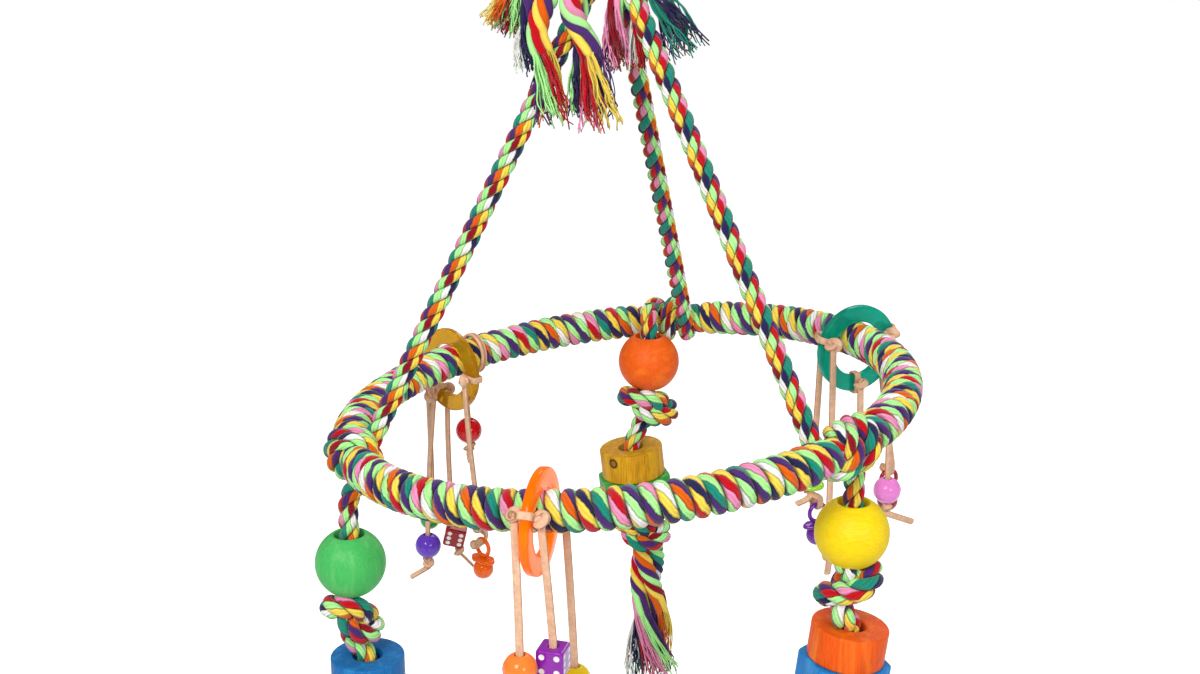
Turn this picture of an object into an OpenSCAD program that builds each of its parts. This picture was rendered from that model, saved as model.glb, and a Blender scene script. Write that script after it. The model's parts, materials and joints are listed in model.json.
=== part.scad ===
// Hanging bird swing: a rope-wound hoop on three rope legs, with three wooden pendants
// and three acrylic charm rings. The origin is the inside top of the quick link, where it
// hangs on a hook. +Z is up and -Y is the side that faces the viewer. Millimetres.

/* [Hanging point] */
// Wire of the quick link
link_wire = 5; // [4:0.5:6]
// Inside length of the quick link
link_inside_l = 50; // [46:1:60]
// Inside width of the quick link
link_inside_w = 14; // [13:0.5:18]
// Gap in the link that its sleeve closes
link_gap = 7; // [5:0.5:8]
// Width of the sleeve across its flats
sleeve_af = 9; // [8.5:0.5:11]
// Length of the sleeve over the gap at each end
sleeve_lap = 3; // [2:0.5:4]
// Wire of the welded ring below the link
top_ring_wire = 6; // [5:0.5:7]
// Middle diameter of the welded ring
top_ring_d = 54; // [50:1:70]

/* [Rope and legs] */
// Thickness of the laid cotton rope
rope_d = 13; // [12:0.25:13.5]
// Height of the apex knot over the hoop's middle
leg_rise = 285; // [240:5:340]
// Width of the knot that joins the three legs
apex_knot_w = 50; // [46:1:56]
// Height of that knot
apex_knot_h = 44; // [40:1:50]
// Length of a rope tail that hangs from that knot
tail_l = 96; // [80:2:120]

/* [Hoop] */
// Diameter of the hoop along the middle of its core
hoop_d = 356; // [330:2:400]
// Thickness of the steel core inside the hoop
core_d = 9; // [8:0.5:10]
// How far the hoop hangs out of level, right side up
hoop_tilt = 6.5; // [0:0.5:10]
// How far the hoop's middle hangs to the right of the hook
hoop_shift = 8; // [0:1:12]
// Turns of rope wound on each third of the hoop
wrap_turns = 24; // [18:1:24]
// Thickness of a wound turn, pressed flat
wrap_t = 7; // [6:0.25:8]

/* [Wooden pendants] */
// Diameter of a wooden ball
ball_d = 44.5; // [40:0.5:45]
// Bore through balls, drums and blocks
wood_bore = 19; // [18:0.5:22]
// Diameter of a wooden drum
drum_d = 47; // [40:0.5:52]
// Height of a wooden drum
drum_h = 22; // [16:1:30]
// Width of a six-sided block across its flats
block_af = 50; // [44:1:56]
// Height of a six-sided block
block_h = 28; // [20:1:36]
// Depth of the worn edge on drums and blocks
wood_edge = 1.2; // [0.6:0.2:2]
// Width of an overhand knot in the rope
knot_w = 38; // [34:1:44]
// Height of the left upper knot and of every lower knot
knot_h = 36; // [30:1:40]
// Height of the right upper knot
right_knot_h = 32; // [28:1:36]
// Width of the back upper knot
back_knot_w = 46; // [38:1:48]
// Height of the back upper knot
back_knot_h = 27; // [24:1:34]
// Length of the untwisted tail below the lowest knot
tassel_l = 121; // [90:1:140]
// Width of that tail where its strands are still twisted
tassel_w = 30; // [26:1:36]
// Width of its frayed end
fray_w = 46; // [36:1:56]

/* [Acrylic rings] */
// Outer diameter of an acrylic ring
acrylic_od = 61; // [58:1:70]
// Inner diameter of an acrylic ring
acrylic_bore_d = 38; // [36:0.5:42]
// Thickness of an acrylic ring
acrylic_t = 5; // [3:0.5:6]

/* [Leather and charms] */
// Width of a leather lace
lace_w = 4.6; // [3.6:0.2:5]
// Thickness of a leather lace
lace_t = 2.4; // [1.6:0.2:2.8]
// Radius of a knot in a lace
lace_knot_r = 4.8; // [4:0.2:5.2]
// Diameter of a plastic bead
bead_d = 19.5; // [16:0.5:20]
// Bore through beads and dice
bead_bore = 6; // [5.6:0.2:7]
// Side of a plastic die
die_w = 16; // [12:0.5:17]
// Width of a dummy charm's shield
dummy_w = 21; // [16:0.5:23]
// Diameter of a dummy charm's bulb
dummy_bulb_d = 15; // [11:0.5:16]
// Diameter of a dummy charm's handle, along its middle
dummy_loop_d = 13; // [12:0.5:15]
// Diameter of a lime ring, along its middle
lime_ring_d = 14; // [13:0.5:14.5]
// Thickness of a lime ring
lime_ring_wire = 4.2; // [3.6:0.2:4.6]

/* [Hidden] */

$fn = 48;

// Running gap between a piece and what carries it
seat_gap = 0.3;
// Gap between the winding and the core
wrap_gap = 0.4;
// Gap round a rope end that turns in its hitch
swivel_gap = 0.3;

link_r = link_wire / 2;
link_bend_r = link_inside_w / 2 + link_r;
link_top_z = -link_inside_w / 2;
link_low_z = -link_inside_l + link_inside_w / 2;
sleeve_l = link_gap + 2 * sleeve_lap;
sleeve_top_z = link_top_z - link_r;
gap_top_z = sleeve_top_z - sleeve_lap;
sleeve_bore = link_wire + 2 * seat_gap;

top_ring_r = top_ring_d / 2;
top_ring_z = -link_inside_l + top_ring_wire / 2 + seat_gap - top_ring_r;
loop_r = top_ring_wire / 2 + rope_d / 2 + wrap_gap;
apex_z = top_ring_z - top_ring_r - loop_r - apex_knot_h / 2 + rope_d / 2;

rope_r = rope_d / 2;
core_r = core_d / 2;
hoop_r = hoop_d / 2;
hoop_c = [hoop_shift, 0, apex_z - leg_rise];
hoop_n = [-sin(hoop_tilt), 0, cos(hoop_tilt)];

// Places round the hoop, as degrees from its right side towards its back
left_foot_angle = 190;
right_foot_angle = 311;
back_foot_angle = 73.5;
amber_place_angle = 136;
orange_place_angle = 254;
teal_place_angle = 384;

// A hitch is a little under two turns of rope, a rope's width and a slack apart
hitch_slack_share = 0.12;
hitch_pitch = (rope_d * (1 + hitch_slack_share)) / (hoop_r - core_r - rope_r) * 180 / PI;
hitch_r = core_r + wrap_gap + rope_r;
hitch_start_angle = 212;
hitch_end_angle = 900;
back_hitch_end_angle = 840;
hitch_rings = 12;

// The winding has eight rings a turn, of six sides, and each turn fills most of its pitch
wrap_rings = 8;
wrap_sides = 6;
wrap_fill_share = 0.47;
wrap_sink = cos(180 / wrap_rings);
wrap_mid_r = (core_r + wrap_gap) / wrap_sink + wrap_t / 2;
wrap_out_r = wrap_mid_r + wrap_t / 2;
wrap_clear = (rope_d * 1.05) / (hoop_r - wrap_out_r) * 180 / PI;

// Where each pendant hangs: out from the middle of the hoop's core, and below it
left_out = 6;
left_pivot_drop = 36;
left_ball_drop = 68;
right_out = -4;
right_pivot_drop = 30;
right_ball_drop = 60;
back_out = -31;
back_pivot_drop = 0;
back_ball_drop = 23;

// A pendant's drum hangs this far below its ball, aside of it, and this far out of level
left_drum_drop = 64;
left_drum_shift = 8;
left_lean_angle = 0;
right_drum_drop = 60;
right_drum_shift = 2;
right_lean_angle = 6.5;
back_drum_drop = 67;
back_drum_shift = -13;
back_lean_angle = -6.5;

acrylic_r = (acrylic_od + acrylic_bore_d) / 4;
acrylic_band = (acrylic_od - acrylic_bore_d) / 2;
acrylic_hang = acrylic_bore_d / 2 - wrap_out_r - 2 * seat_gap;
tie_t = 1.6;
tie_out = acrylic_t / 2 + seat_gap + lace_knot_r;

// Unit vector of v
function unit(v) = v / norm(v);

// Point a share s of the way from a to b
function mix(a, b, s) = a + (b - a) * s;

// Direction away from the hoop's middle, in the hoop's own plane
function out_dir(az) = [cos(az) * cos(hoop_tilt), sin(az), cos(az) * sin(hoop_tilt)];

// Level direction away from the hoop's middle
function level_out(az) = [cos(az), sin(az), 0];

// Point at distance rho and angle psi round the hoop's core
function on_hoop(az, rho, psi) =
    hoop_c + out_dir(az) * (hoop_r + rho * cos(psi)) + hoop_n * rho * sin(psi);

// Direction of a path at each of its points
function path_dirs(p) =
    [for (i = [0:len(p) - 1]) unit(p[min(i + 1, len(p) - 1)] - p[max(i - 1, 0)])];

// A vector square to t, as near to u as it can be
function square_to(u, t) = unit(u - t * (u * t));

// Side vectors carried along a path without twisting
function path_sides(d, u) =
    [for (i = 0, s = square_to(u, d[0]); i < len(d);
        i = i + 1, s = square_to(s, d[min(i, len(d) - 1)])) s];

// Points of a tube: ring i has half width w[i] and half thickness t[i]
function tube_points(p, w, t, sides, u) =
    let (d = path_dirs(p), s = path_sides(d, u))
    [for (i = [0:len(p) - 1]) for (k = [0:sides - 1])
        p[i] + s[i] * w[i] * cos(360 * k / sides)
            + cross(d[i], s[i]) * t[i] * sin(360 * k / sides)];

// Triangles that close a stack of rings into a tube with flat ends
function tube_faces(rings, sides) = concat(
    [for (i = [0:rings - 2]) for (k = [0:sides - 1])
        [i * sides + k, (i + 1) * sides + k, (i + 1) * sides + (k + 1) % sides]],
    [for (i = [0:rings - 2]) for (k = [0:sides - 1])
        [i * sides + k, (i + 1) * sides + (k + 1) % sides, i * sides + (k + 1) % sides]],
    [for (k = [1:sides - 2]) [0, k, k + 1]],
    [for (k = [1:sides - 2])
        [(rings - 1) * sides, (rings - 1) * sides + k + 1, (rings - 1) * sides + k]]);

// Tube along p with half widths w and half thicknesses t
module tube(p, w, t, sides, u = [0, 1, 0]) {
    polyhedron(points = tube_points(p, w, t, sides, u), faces = tube_faces(len(p), sides));
}

// Round tube of one radius along p
module round_tube(p, r, sides, u = [0, 1, 0]) {
    each_r = [for (q = p) r];
    tube(p, each_r, each_r, sides, u);
}

// Points of a cubic curve from a to b that leaves along ta and arrives along tb
function curve(a, ta, b, tb, n) =
    [for (i = [1:n]) let (s = i / n, q = 1 - s)
        a * q * q * q + (a + ta) * 3 * q * q * s + (b - tb) * 3 * q * s * s + b * s * s * s];

// Centre of the coil of a hitch at angle psi, starting at azimuth foot
function hitch_point(foot, psi) =
    on_hoop(foot + hitch_pitch * (psi - hitch_start_angle) / 360, hitch_r, psi);

// Azimuth where a hitch ends
function hitch_drop(foot, psi_end) = foot + hitch_pitch * (psi_end - hitch_start_angle) / 360;

left_drop = hitch_drop(left_foot_angle, hitch_end_angle);
right_drop = hitch_drop(right_foot_angle, hitch_end_angle);
back_drop = hitch_drop(back_foot_angle, back_hitch_end_angle);

// Middle of the hoop's core above a pendant, then the pendant's pivot and its ball
function pendant_at(az, out, drop) = on_hoop(az, 0, 0) + level_out(az) * out - [0, 0, drop];

left_pivot = pendant_at(left_drop, left_out, left_pivot_drop);
right_pivot = pendant_at(right_drop, right_out, right_pivot_drop);
back_pivot = pendant_at(back_drop, back_out, back_pivot_drop);
left_ball = pendant_at(left_drop, left_out, left_ball_drop);
right_ball = pendant_at(right_drop, right_out, right_ball_drop);
back_ball = pendant_at(back_drop, back_out, back_ball_drop);

// Middle of a drum's top face
left_drum = left_ball + [left_drum_shift, 0, -left_drum_drop];
right_drum = right_ball + [right_drum_shift, 0, -right_drum_drop];
back_drum = back_ball + [back_drum_shift, 0, -back_drum_drop];

// Downward direction of a bore that leans sideways
function lean_down(lean) = [-sin(lean), 0, -cos(lean)];

// How far a knot's middle lies below the rim of a bore that it carries
knot_gap = 0.7;
function knot_seat(w, h) = knot_gap + h / 2 * sqrt(1 - pow(wood_bore / w, 2));

ball_rim = sqrt(pow(ball_d / 2, 2) - pow(wood_bore / 2, 2));
stack_h = drum_h + seat_gap + block_h;

// Middle of the knot below a ball, and of the knot below a block
function upper_knot(ball, w, h) = ball - [0, 0, ball_rim + knot_seat(w, h)];
function lower_knot(drum, lean) = drum + lean_down(lean) * (stack_h + knot_seat(knot_w, knot_h));

// Rings of a knot, from pole to pole, as degrees from its upper pole
knot_angles = [30, 50, 70, 90, 110, 130, 150];
// How far the rope's three crossings stand out of a knot
knot_lump_share = 0.07;

// A ring of a rope: its middle, its direction, its radius and its share of lumps
function rope_ring(p, d, r, lump) = [p, d, r, lump];
function knot_rings(c, d, w, h) =
    [for (a = knot_angles)
        rope_ring(c - d * (h / 2 * cos(a)), d, max(rope_r, w / 2 * sin(a)), knot_lump_share * sin(a))];

// Points of a rope with knots, each ring square to its own direction
function rope_points(rings, sides) =
    [for (i = [0:len(rings) - 1]) for (k = [0:sides - 1])
        let (g = rings[i], s = square_to([0, 1, 0], g[1]), a = 360 * k / sides,
            r = g[2] * (1 + g[3] * cos(3 * a + 50 * i)))
        g[0] + s * r * cos(a) + cross(g[1], s) * r * sin(a)];

// Closed rope with knots through the given rings
module rope_with_knots(rings, sides) {
    polyhedron(points = rope_points(rings, sides), faces = tube_faces(len(rings), sides));
}

down = [0, 0, -1];
cap_angles = [25, 55, 90];

// Rope of a pendant: a round end in the hitch, then ball, knot, drum, block and knot
module pendant_rope(pivot, ball, w, h, drum, lean) {
    axis = lean_down(lean);
    top_knot = upper_knot(ball, w, h);
    low_knot = lower_knot(drum, lean);
    neck_a = top_knot + down * (h / 2 + rope_r / 2);
    neck_b = drum - axis * rope_r / 2;
    neck_dir = unit(neck_b - neck_a);
    rings = concat(
        [for (a = cap_angles)
            rope_ring(pivot - down * (rope_r * cos(a)), down, rope_r * sin(a), 0)],
        [rope_ring(ball - down * ball_rim / 2, down, rope_r, 0)],
        [rope_ring(top_knot - down * h / 2, down, rope_r, 0)],
        knot_rings(top_knot, down, w, h),
        [rope_ring(neck_a, unit(neck_dir + down), rope_r, 0)],
        [rope_ring(neck_b, unit(neck_dir + axis), rope_r, 0)],
        [rope_ring(drum + axis * stack_h / 2, axis, rope_r, 0)],
        [rope_ring(drum + axis * stack_h, axis, rope_r, 0)],
        knot_rings(low_knot, axis, knot_w, knot_h));
    rope_with_knots(rings, 12);
}

// Frayed tail below the lowest knot: outline as shares of its width and length
tassel_outline_shares = [[0.5, 0], [0.9, 0.06], [1, 0.25], [0.86, 0.46], [0.96, 0.56]];
fray_outline_shares = [[0.74, 0.7], [0.92, 0.88], [1, 0.97], [0.9, 1]];

// Turned outline of a frayed rope end that hangs from its top middle
module frayed_end(w, end_w, l) {
    rotate_extrude()
        polygon(concat(
            [[0, 0]],
            [for (q = tassel_outline_shares) [q[0] * w / 2, -q[1] * l]],
            [for (q = fray_outline_shares) [q[0] * end_w / 2, -q[1] * l]],
            [[0, -l]]));
}

// Tassel of a pendant, straight below its lowest knot
module pendant_tassel(drum, lean) {
    low_knot = lower_knot(drum, lean);
    translate(low_knot + lean_down(lean) * (knot_h / 2 * cos(knot_angles[0]) + seat_gap))
        rotate([0, lean / 2, 0])
            frayed_end(tassel_w, fray_w, tassel_l);
}

// Round pieces with a bore and worn edges, turned about their own bore
module bored_ball() {
    difference() {
        sphere(d = ball_d, $fn = 96);
        cylinder(d = wood_bore, h = 2 * ball_d, center = true);
    }
}

module bored_drum() {
    rotate_extrude()
        polygon([
            [wood_bore / 2 + wood_edge / 2, 0], [drum_d / 2 - wood_edge, 0],
            [drum_d / 2, -wood_edge], [drum_d / 2, wood_edge - drum_h],
            [drum_d / 2 - wood_edge, -drum_h], [wood_bore / 2 + wood_edge / 2, -drum_h],
            [wood_bore / 2, wood_edge / 2 - drum_h], [wood_bore / 2, -wood_edge / 2]]);
}

// Six-sided block: its corners are worn round by a turned outline
module bored_block() {
    corner_r = block_af / 2 / cos(30);
    difference() {
        intersection() {
            translate([0, 0, -block_h])
                cylinder(r = corner_r, h = block_h, $fn = 6);
            rotate_extrude()
                polygon([
                    [0, 0], [corner_r - 2 * wood_edge, 0], [corner_r - wood_edge / 2, -wood_edge],
                    [corner_r - wood_edge / 2, wood_edge - block_h],
                    [corner_r - 2 * wood_edge, -block_h], [0, -block_h]]);
        }
        translate([0, 0, -block_h / 2])
            cylinder(d = wood_bore, h = 2 * block_h, center = true);
    }
}

// Puts a stacked piece on a drum's leaning bore, a depth below the drum's top
module on_bore(drum, lean, depth) {
    translate(drum + lean_down(lean) * depth)
        rotate([0, lean, 0])
            children();
}

// Rope leg from the apex knot, hitched round the hoop, to the end that a pendant hangs in
leg_spread = rope_d * 0.63;
module leg(foot, psi_end, pivot) {
    top = [0, 0, apex_z - apex_knot_h / 4] + level_out(foot) * leg_spread;
    start = hitch_point(foot, hitch_start_angle);
    lead = unit(start - top);
    end_at = pivot - down * (rope_r + swivel_gap);
    turns = round(hitch_rings * (psi_end - hitch_start_angle) / 360);
    coil = [for (i = [0:turns]) hitch_point(foot, mix(hitch_start_angle, psi_end, i / turns))];
    last = unit(coil[turns] - coil[turns - 1]);
    reach = norm(end_at - coil[turns]) / 2;
    path = concat(
        [for (s = [0:5]) mix(top, start - lead * rope_r, s / 5)],
        coil,
        curve(coil[turns], last * reach, end_at, down * reach, 5));
    radii = [for (i = [0:len(path) - 1]) i == len(path) - 1 ? rope_r * 0.8 : rope_r * 0.96];
    tube(path, radii, radii, 8);
}

// Point of a winding: ring i of the whole, corner k of its six-sided section
function wrap_point(az_a, az_b, i, k) =
    let (n = wrap_turns * wrap_rings, pitch = (az_b - az_a) / wrap_turns,
        a = 360 * k / wrap_sides)
    on_hoop(mix(az_a, az_b, i / n) + pitch * wrap_fill_share * cos(a),
        wrap_mid_r + wrap_t / 2 * sin(a), -360 * i / wrap_rings);

// One unbroken winding of pressed rope round the core between two hitches
module winding(az_a, az_b) {
    n = wrap_turns * wrap_rings;
    polyhedron(
        points = [for (i = [0:n]) for (k = [0:wrap_sides - 1]) wrap_point(az_a, az_b, i, k)],
        faces = tube_faces(n + 1, wrap_sides));
}

// Least gap between neighbouring turns, measured between facing corners
function winding_gap(az_a, az_b) =
    min([for (i = [0:(wrap_turns - 1) * wrap_rings])
        norm(wrap_point(az_a, az_b, i + wrap_rings, 3) - wrap_point(az_a, az_b, i, 0))]);

// Least gap between a hitch's two turns, measured between their middles
function hitch_gap(foot) =
    min([for (i = [0:hitch_rings])
        let (psi = hitch_start_angle + 360 * i / hitch_rings)
        norm(hitch_point(foot, psi + 360) - hitch_point(foot, psi)) - rope_d]);

front_arc = [left_drop + wrap_clear, right_foot_angle - wrap_clear];
right_arc = [right_drop + wrap_clear, 360 + back_foot_angle - wrap_clear];
back_arc = [back_drop + wrap_clear, left_foot_angle - wrap_clear];

// Azimuth of the winding's turn whose top lies nearest to a place, where a ring can rest
top_of_turn_share = 0.75;
function turn_near(arc, place) =
    let (pitch = (arc[1] - arc[0]) / wrap_turns)
    arc[0] + pitch * (round((place - arc[0]) / pitch - top_of_turn_share) + top_of_turn_share);
amber_az = turn_near(back_arc, amber_place_angle);
orange_az = turn_near(front_arc, orange_place_angle);
teal_az = turn_near(right_arc, teal_place_angle) - 360;

echo(least_gap_in_windings = [
    winding_gap(front_arc[0], front_arc[1]), winding_gap(right_arc[0], right_arc[1]),
    winding_gap(back_arc[0], back_arc[1])]);
echo(least_gap_in_hitches =
    [for (foot = [left_foot_angle, right_foot_angle, back_foot_angle]) hitch_gap(foot)]);

// Knot of the three legs, with a loop of each over the welded ring
module knot_lump(w, h) {
    turn = [0, 0, 1];
    rings = concat(
        [rope_ring([0, 0, -h / 2], turn, w / 8, 0)],
        [for (a = [150, 130, 110, 90, 70, 50, 30])
            rope_ring([0, 0, h / 2 * cos(a)], turn, w / 2 * sin(a), knot_lump_share * sin(a))],
        [rope_ring([0, 0, h / 2], turn, w / 8, 0)]);
    rope_with_knots(rings, 18);
}

// Angle along the welded ring between two loops of rope
loop_step = rope_d * 1.06 / (top_ring_r - top_ring_wire / 2 - rope_r) * 180 / PI;
loop_angles = [0, 30, 60, 90, 120, 150, 180];

// Loop of rope over the welded ring, turned round the ring's middle, ending in the knot
module ring_loop(turn) {
    root = [0, -sin(turn) * apex_knot_w / 4, apex_z];
    over = [for (a = loop_angles)
        let (x = loop_r * cos(a), z = -top_ring_r + loop_r * sin(a))
        [x, z * sin(turn) * -1, top_ring_z + z * cos(turn)]];
    path = concat(
        [root + [loop_r, 0, 0]], over, [root - [loop_r, 0, 0]]);
    round_tube(path, rope_r * 0.94, 8);
}

// Frayed tail that comes out of the apex knot at azimuth az and leans outwards
tail_root_share = 0.4;
module apex_tail(az, l, w, end_w, lean) {
    translate([0, 0, apex_z - apex_knot_h / 5] + level_out(az) * apex_knot_w * tail_root_share)
        rotate([0, 0, az])
            rotate([0, -lean, 0])
                frayed_end(w, end_w, l);
}

// Frame of an acrylic ring: x outwards, y along the hoop, z up, origin in its middle
function ring_middle(az) = on_hoop(az, 0, 0) - [0, 0, acrylic_hang];
module in_ring(az) {
    translate(ring_middle(az))
        rotate([0, 0, az])
            children();
}

module acrylic_ring(az) {
    edge = acrylic_t / 5;
    in_ring(az)
        rotate([90, 0, 0])
            rotate_extrude($fn = 96)
                translate([acrylic_r, 0])
                    polygon([
                        [-acrylic_band / 2, -acrylic_t / 2 + edge],
                        [-acrylic_band / 2 + edge, -acrylic_t / 2],
                        [acrylic_band / 2 - edge, -acrylic_t / 2],
                        [acrylic_band / 2, -acrylic_t / 2 + edge],
                        [acrylic_band / 2, acrylic_t / 2 - edge],
                        [acrylic_band / 2 - edge, acrylic_t / 2],
                        [-acrylic_band / 2 + edge, acrylic_t / 2],
                        [-acrylic_band / 2, acrylic_t / 2 - edge]]);
}

// Place of a tie on a ring, degrees from the ring's lowest point outwards
function tie_at(turn, face) = [acrylic_r * sin(turn), face * tie_out, -acrylic_r * cos(turn)];

// Leather band round the ring's section, with a knot on each face named
module tie(turn, tie_faces) {
    rotate([0, -turn, 0])
        translate([0, 0, -acrylic_r])
            rotate([90, 0, 90])
                linear_extrude(lace_w, center = true)
                    difference() {
                        square([acrylic_t + 2 * (seat_gap + tie_t),
                            acrylic_band + 2 * (seat_gap + tie_t)], center = true);
                        square([acrylic_t + 2 * seat_gap, acrylic_band + 2 * seat_gap],
                            center = true);
                    }
    for (f = tie_faces)
        translate(tie_at(turn, f))
            sphere(lace_knot_r);
}

// Places of the ties on each ring, degrees from its lowest point outwards
amber_outer_tie_angle = 33;
amber_inner_tie_angle = -88;
orange_front_tie_angle = 118;
orange_back_tie_angle = -69;
teal_left_tie_angle = -108;
teal_middle_tie_angle = 0;
teal_right_tie_angle = 112;

// How far two laces below one knot hang from its middle
lace_aside = 3;
// Gap below a tied knot, so that its lace can swing
lace_gap = 0.5;

// Top of a lace below the knot at a tie, aside of the knot's middle
function lace_top(turn, face, aside) =
    tie_at(turn, face) + [aside, 0, -lace_knot_r - lace_gap];

// How far the knot below a charm lies from the charm's middle
bead_seat = sqrt(pow(bead_d / 2, 2) - pow(bead_bore / 2, 2)) + seat_gap
    + sqrt(pow(lace_knot_r, 2) - pow(bead_bore / 2, 2));
die_lean_angle = 19;
die_seat = (die_w / 2 + lace_knot_r + seat_gap) / cos(die_lean_angle);
lime_knot_r = lace_knot_r * 1.15;
lime_seat = sqrt(pow(lime_knot_r + lime_ring_wire / 2 + seat_gap, 2) - pow(lime_ring_d / 2, 2));

// Lace from its top, through a charm's middle, to a knot below it and a short tail
module lace(top, eye, seat, tail, knot_r = lace_knot_r) {
    knot = eye - [0, 0, seat];
    over = eye + [0, 0, bead_d / 2];
    path = [top, mix(top, over, 0.25), mix(top, over, 0.5), mix(top, over, 0.75), over, knot];
    wide = [for (p = path) lace_w / 2];
    thick = [for (p = path) lace_t / 2];
    union() {
        tube(path, wide, thick, 8, [1, 0, 0]);
        translate(knot)
            sphere(knot_r);
        tube([knot, knot + tail * 0.5, knot + tail],
            [lace_w, lace_w, lace_w] / 2, [lace_t, lace_t, lace_t] / 2, 8, [0, 0, 1]);
    }
}

// Lace that goes under the top of a dummy charm's handle and ends in a knot behind it
handle_wire = 3;
handle_knot_r = 3.6;
handle_slack = (handle_wire / 2 + lace_t / 2 + seat_gap) / cos(22.5);
module lace_to_dummy(top, eye) {
    wire = eye + [0, 0, dummy_loop_d / 2];
    bend = [for (a = [180, 225, 270]) wire + handle_slack * [0, cos(a), sin(a)]];
    knot = bend[2] + [0, handle_slack + handle_knot_r, 0];
    over = bend[0] + [0, 0, handle_wire * 2];
    path = concat([top, mix(top, over, 0.33), mix(top, over, 0.66), over], bend, [knot]);
    union() {
        tube(path, [for (p = path) lace_w / 2], [for (p = path) lace_t / 2], 8, [1, 0, 0]);
        translate(knot)
            sphere(handle_knot_r);
    }
}

module bead() {
    difference() {
        sphere(d = bead_d, $fn = 64);
        cylinder(d = bead_bore, h = 2 * bead_d, center = true);
    }
}

// Die with rounded corners and shallow pips, tipped on its lace
pip_d_share = 0.2;
pip_place_share = 0.27;
module die(lean) {
    difference() {
        rotate([0, lean, 0])
            difference() {
                intersection() {
                    cube(die_w, center = true);
                    sphere(d = die_w * 1.56, $fn = 64);
                }
                for (side = [-1, 1])
                    for (x = [-1, 1])
                        for (z = [-1, 0, 1])
                            translate([x * pip_place_share * die_w, side * die_w / 2,
                                z * pip_place_share * die_w])
                                rotate([90, 0, 0])
                                    cylinder(d = pip_d_share * die_w, h = die_w / 20,
                                        center = true, $fn = 16);
            }
        cylinder(d = bead_bore, h = 2 * die_w, center = true);
    }
}

// Baby's dummy charm, hung by its handle, whose middle is the origin
shield_t = 3.2;
module dummy() {
    shield_z = -dummy_loop_d / 2 - handle_wire / 2 - shield_t / 2;
    lobe_d = dummy_w * 0.56;
    union() {
        rotate([90, 0, 0])
            rotate_extrude()
                translate([dummy_loop_d / 2, 0])
                    circle(d = handle_wire, $fn = 24);
        translate([0, 0, shield_z - shield_t / 2])
            linear_extrude(shield_t + handle_wire * 0.4)
                union() {
                    circle(d = lobe_d);
                    for (x = [-1, 1])
                        translate([x * (dummy_w - lobe_d) / 2, 0])
                            circle(d = lobe_d);
                }
        translate([0, 0, shield_z - dummy_bulb_d / 2])
            sphere(d = dummy_bulb_d);
    }
}

module lime_ring() {
    rotate_extrude()
        translate([lime_ring_d / 2, 0])
            circle(d = lime_ring_wire, $fn = 24);
}

// Places of the charms in their ring's frame: outwards, along the hoop and up
at_dummy_green = [33, -3, -112];
at_bead_purple = [21, 9, -143];
at_die_red = [10, -9, -135];
at_lime_amber = [-34, 5, -108];
at_dummy_orange = [-38, 5, -127];
at_bead_orange = [32, -2, -74];
at_die_purple = [16, 12, -74];
at_bead_yellow = [-24, 12, -108];
at_lime_teal = [-28, 6, -99];
at_dummy_purple = [-22, 6, -121];
at_bead_blue = [-24, -12, -132];
at_die_green = [4, -6, -126];
at_bead_pink = [25, -10, -106];
at_dummy_red = [37, 6, -105];

// How far the short tail below each charm's knot reaches, in the same frames
tail_bead_purple = [8, 14, -8];
tail_die_red = [-18, 0, -7];
tail_lime_amber = [-4, 0, -3];
tail_bead_red = [-8, 4, -4];
tail_bead_orange = [4, -14, -6];
tail_die_purple = [4, 12, -6];
tail_bead_yellow = [-4, 12, -8];
tail_lime_teal = [-14, 0, -2];
tail_bead_blue = [-8, -10, -6];
tail_die_green = [10, -8, -8];
tail_bead_pink = [22, -6, -9];

// Lace tied round the hoop itself, beside the amber ring
hoop_tie_az = amber_az - 7;
hoop_tie_angle = 30;
hoop_tie_r = wrap_out_r + seat_gap + lace_t / 2;
hoop_knot = (hoop_tie_r + lace_knot_r) * [sin(hoop_tie_angle), 0, -cos(hoop_tie_angle)];
at_bead_red = [9, 0, -63];
module in_hoop_tie() {
    translate(on_hoop(hoop_tie_az, 0, 0))
        rotate([0, 0, hoop_tie_az])
            children();
}

module quick_link() {
    color("silver") {
        for (side = [0, 1])
            translate([0, 0, side == 0 ? link_top_z : link_low_z])
                rotate([90, 0, 0])
                    rotate([0, 0, side * 180])
                        rotate_extrude(angle = 180)
                            translate([link_bend_r, 0])
                                circle(r = link_r, $fn = 32);
        translate([-link_bend_r, 0, link_low_z])
            cylinder(r = link_r, h = link_top_z - link_low_z, $fn = 32);
        translate([link_bend_r, 0, gap_top_z])
            cylinder(r = link_r, h = link_top_z - gap_top_z, $fn = 32);
        translate([link_bend_r, 0, link_low_z])
            cylinder(r = link_r, h = gap_top_z - link_gap - link_low_z, $fn = 32);
    }
}

module link_sleeve() {
    color("gainsboro")
        translate([link_bend_r, 0, sleeve_top_z - sleeve_l])
            difference() {
                intersection() {
                    cylinder(d = sleeve_af / cos(30), h = sleeve_l, $fn = 6);
                    cylinder(d1 = sleeve_af, d2 = sleeve_af + 2 * sleeve_l, h = sleeve_l);
                    translate([0, 0, 0])
                        cylinder(d2 = sleeve_af, d1 = sleeve_af + 2 * sleeve_l, h = sleeve_l);
                }
                cylinder(d = sleeve_bore, h = 3 * sleeve_l, center = true, $fn = 32);
            }
}

module top_ring() {
    color("silver")
        translate([0, 0, top_ring_z])
            rotate([0, 90, 0])
                rotate_extrude($fn = 96)
                    translate([top_ring_r, 0])
                        circle(d = top_ring_wire, $fn = 32);
}

module apex_knot() {
    color("mediumpurple")
        union() {
            translate([0, 0, apex_z])
                knot_lump(apex_knot_w, apex_knot_h);
            for (i = [-1, 0, 1])
                ring_loop(i * loop_step);
        }
}

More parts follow.
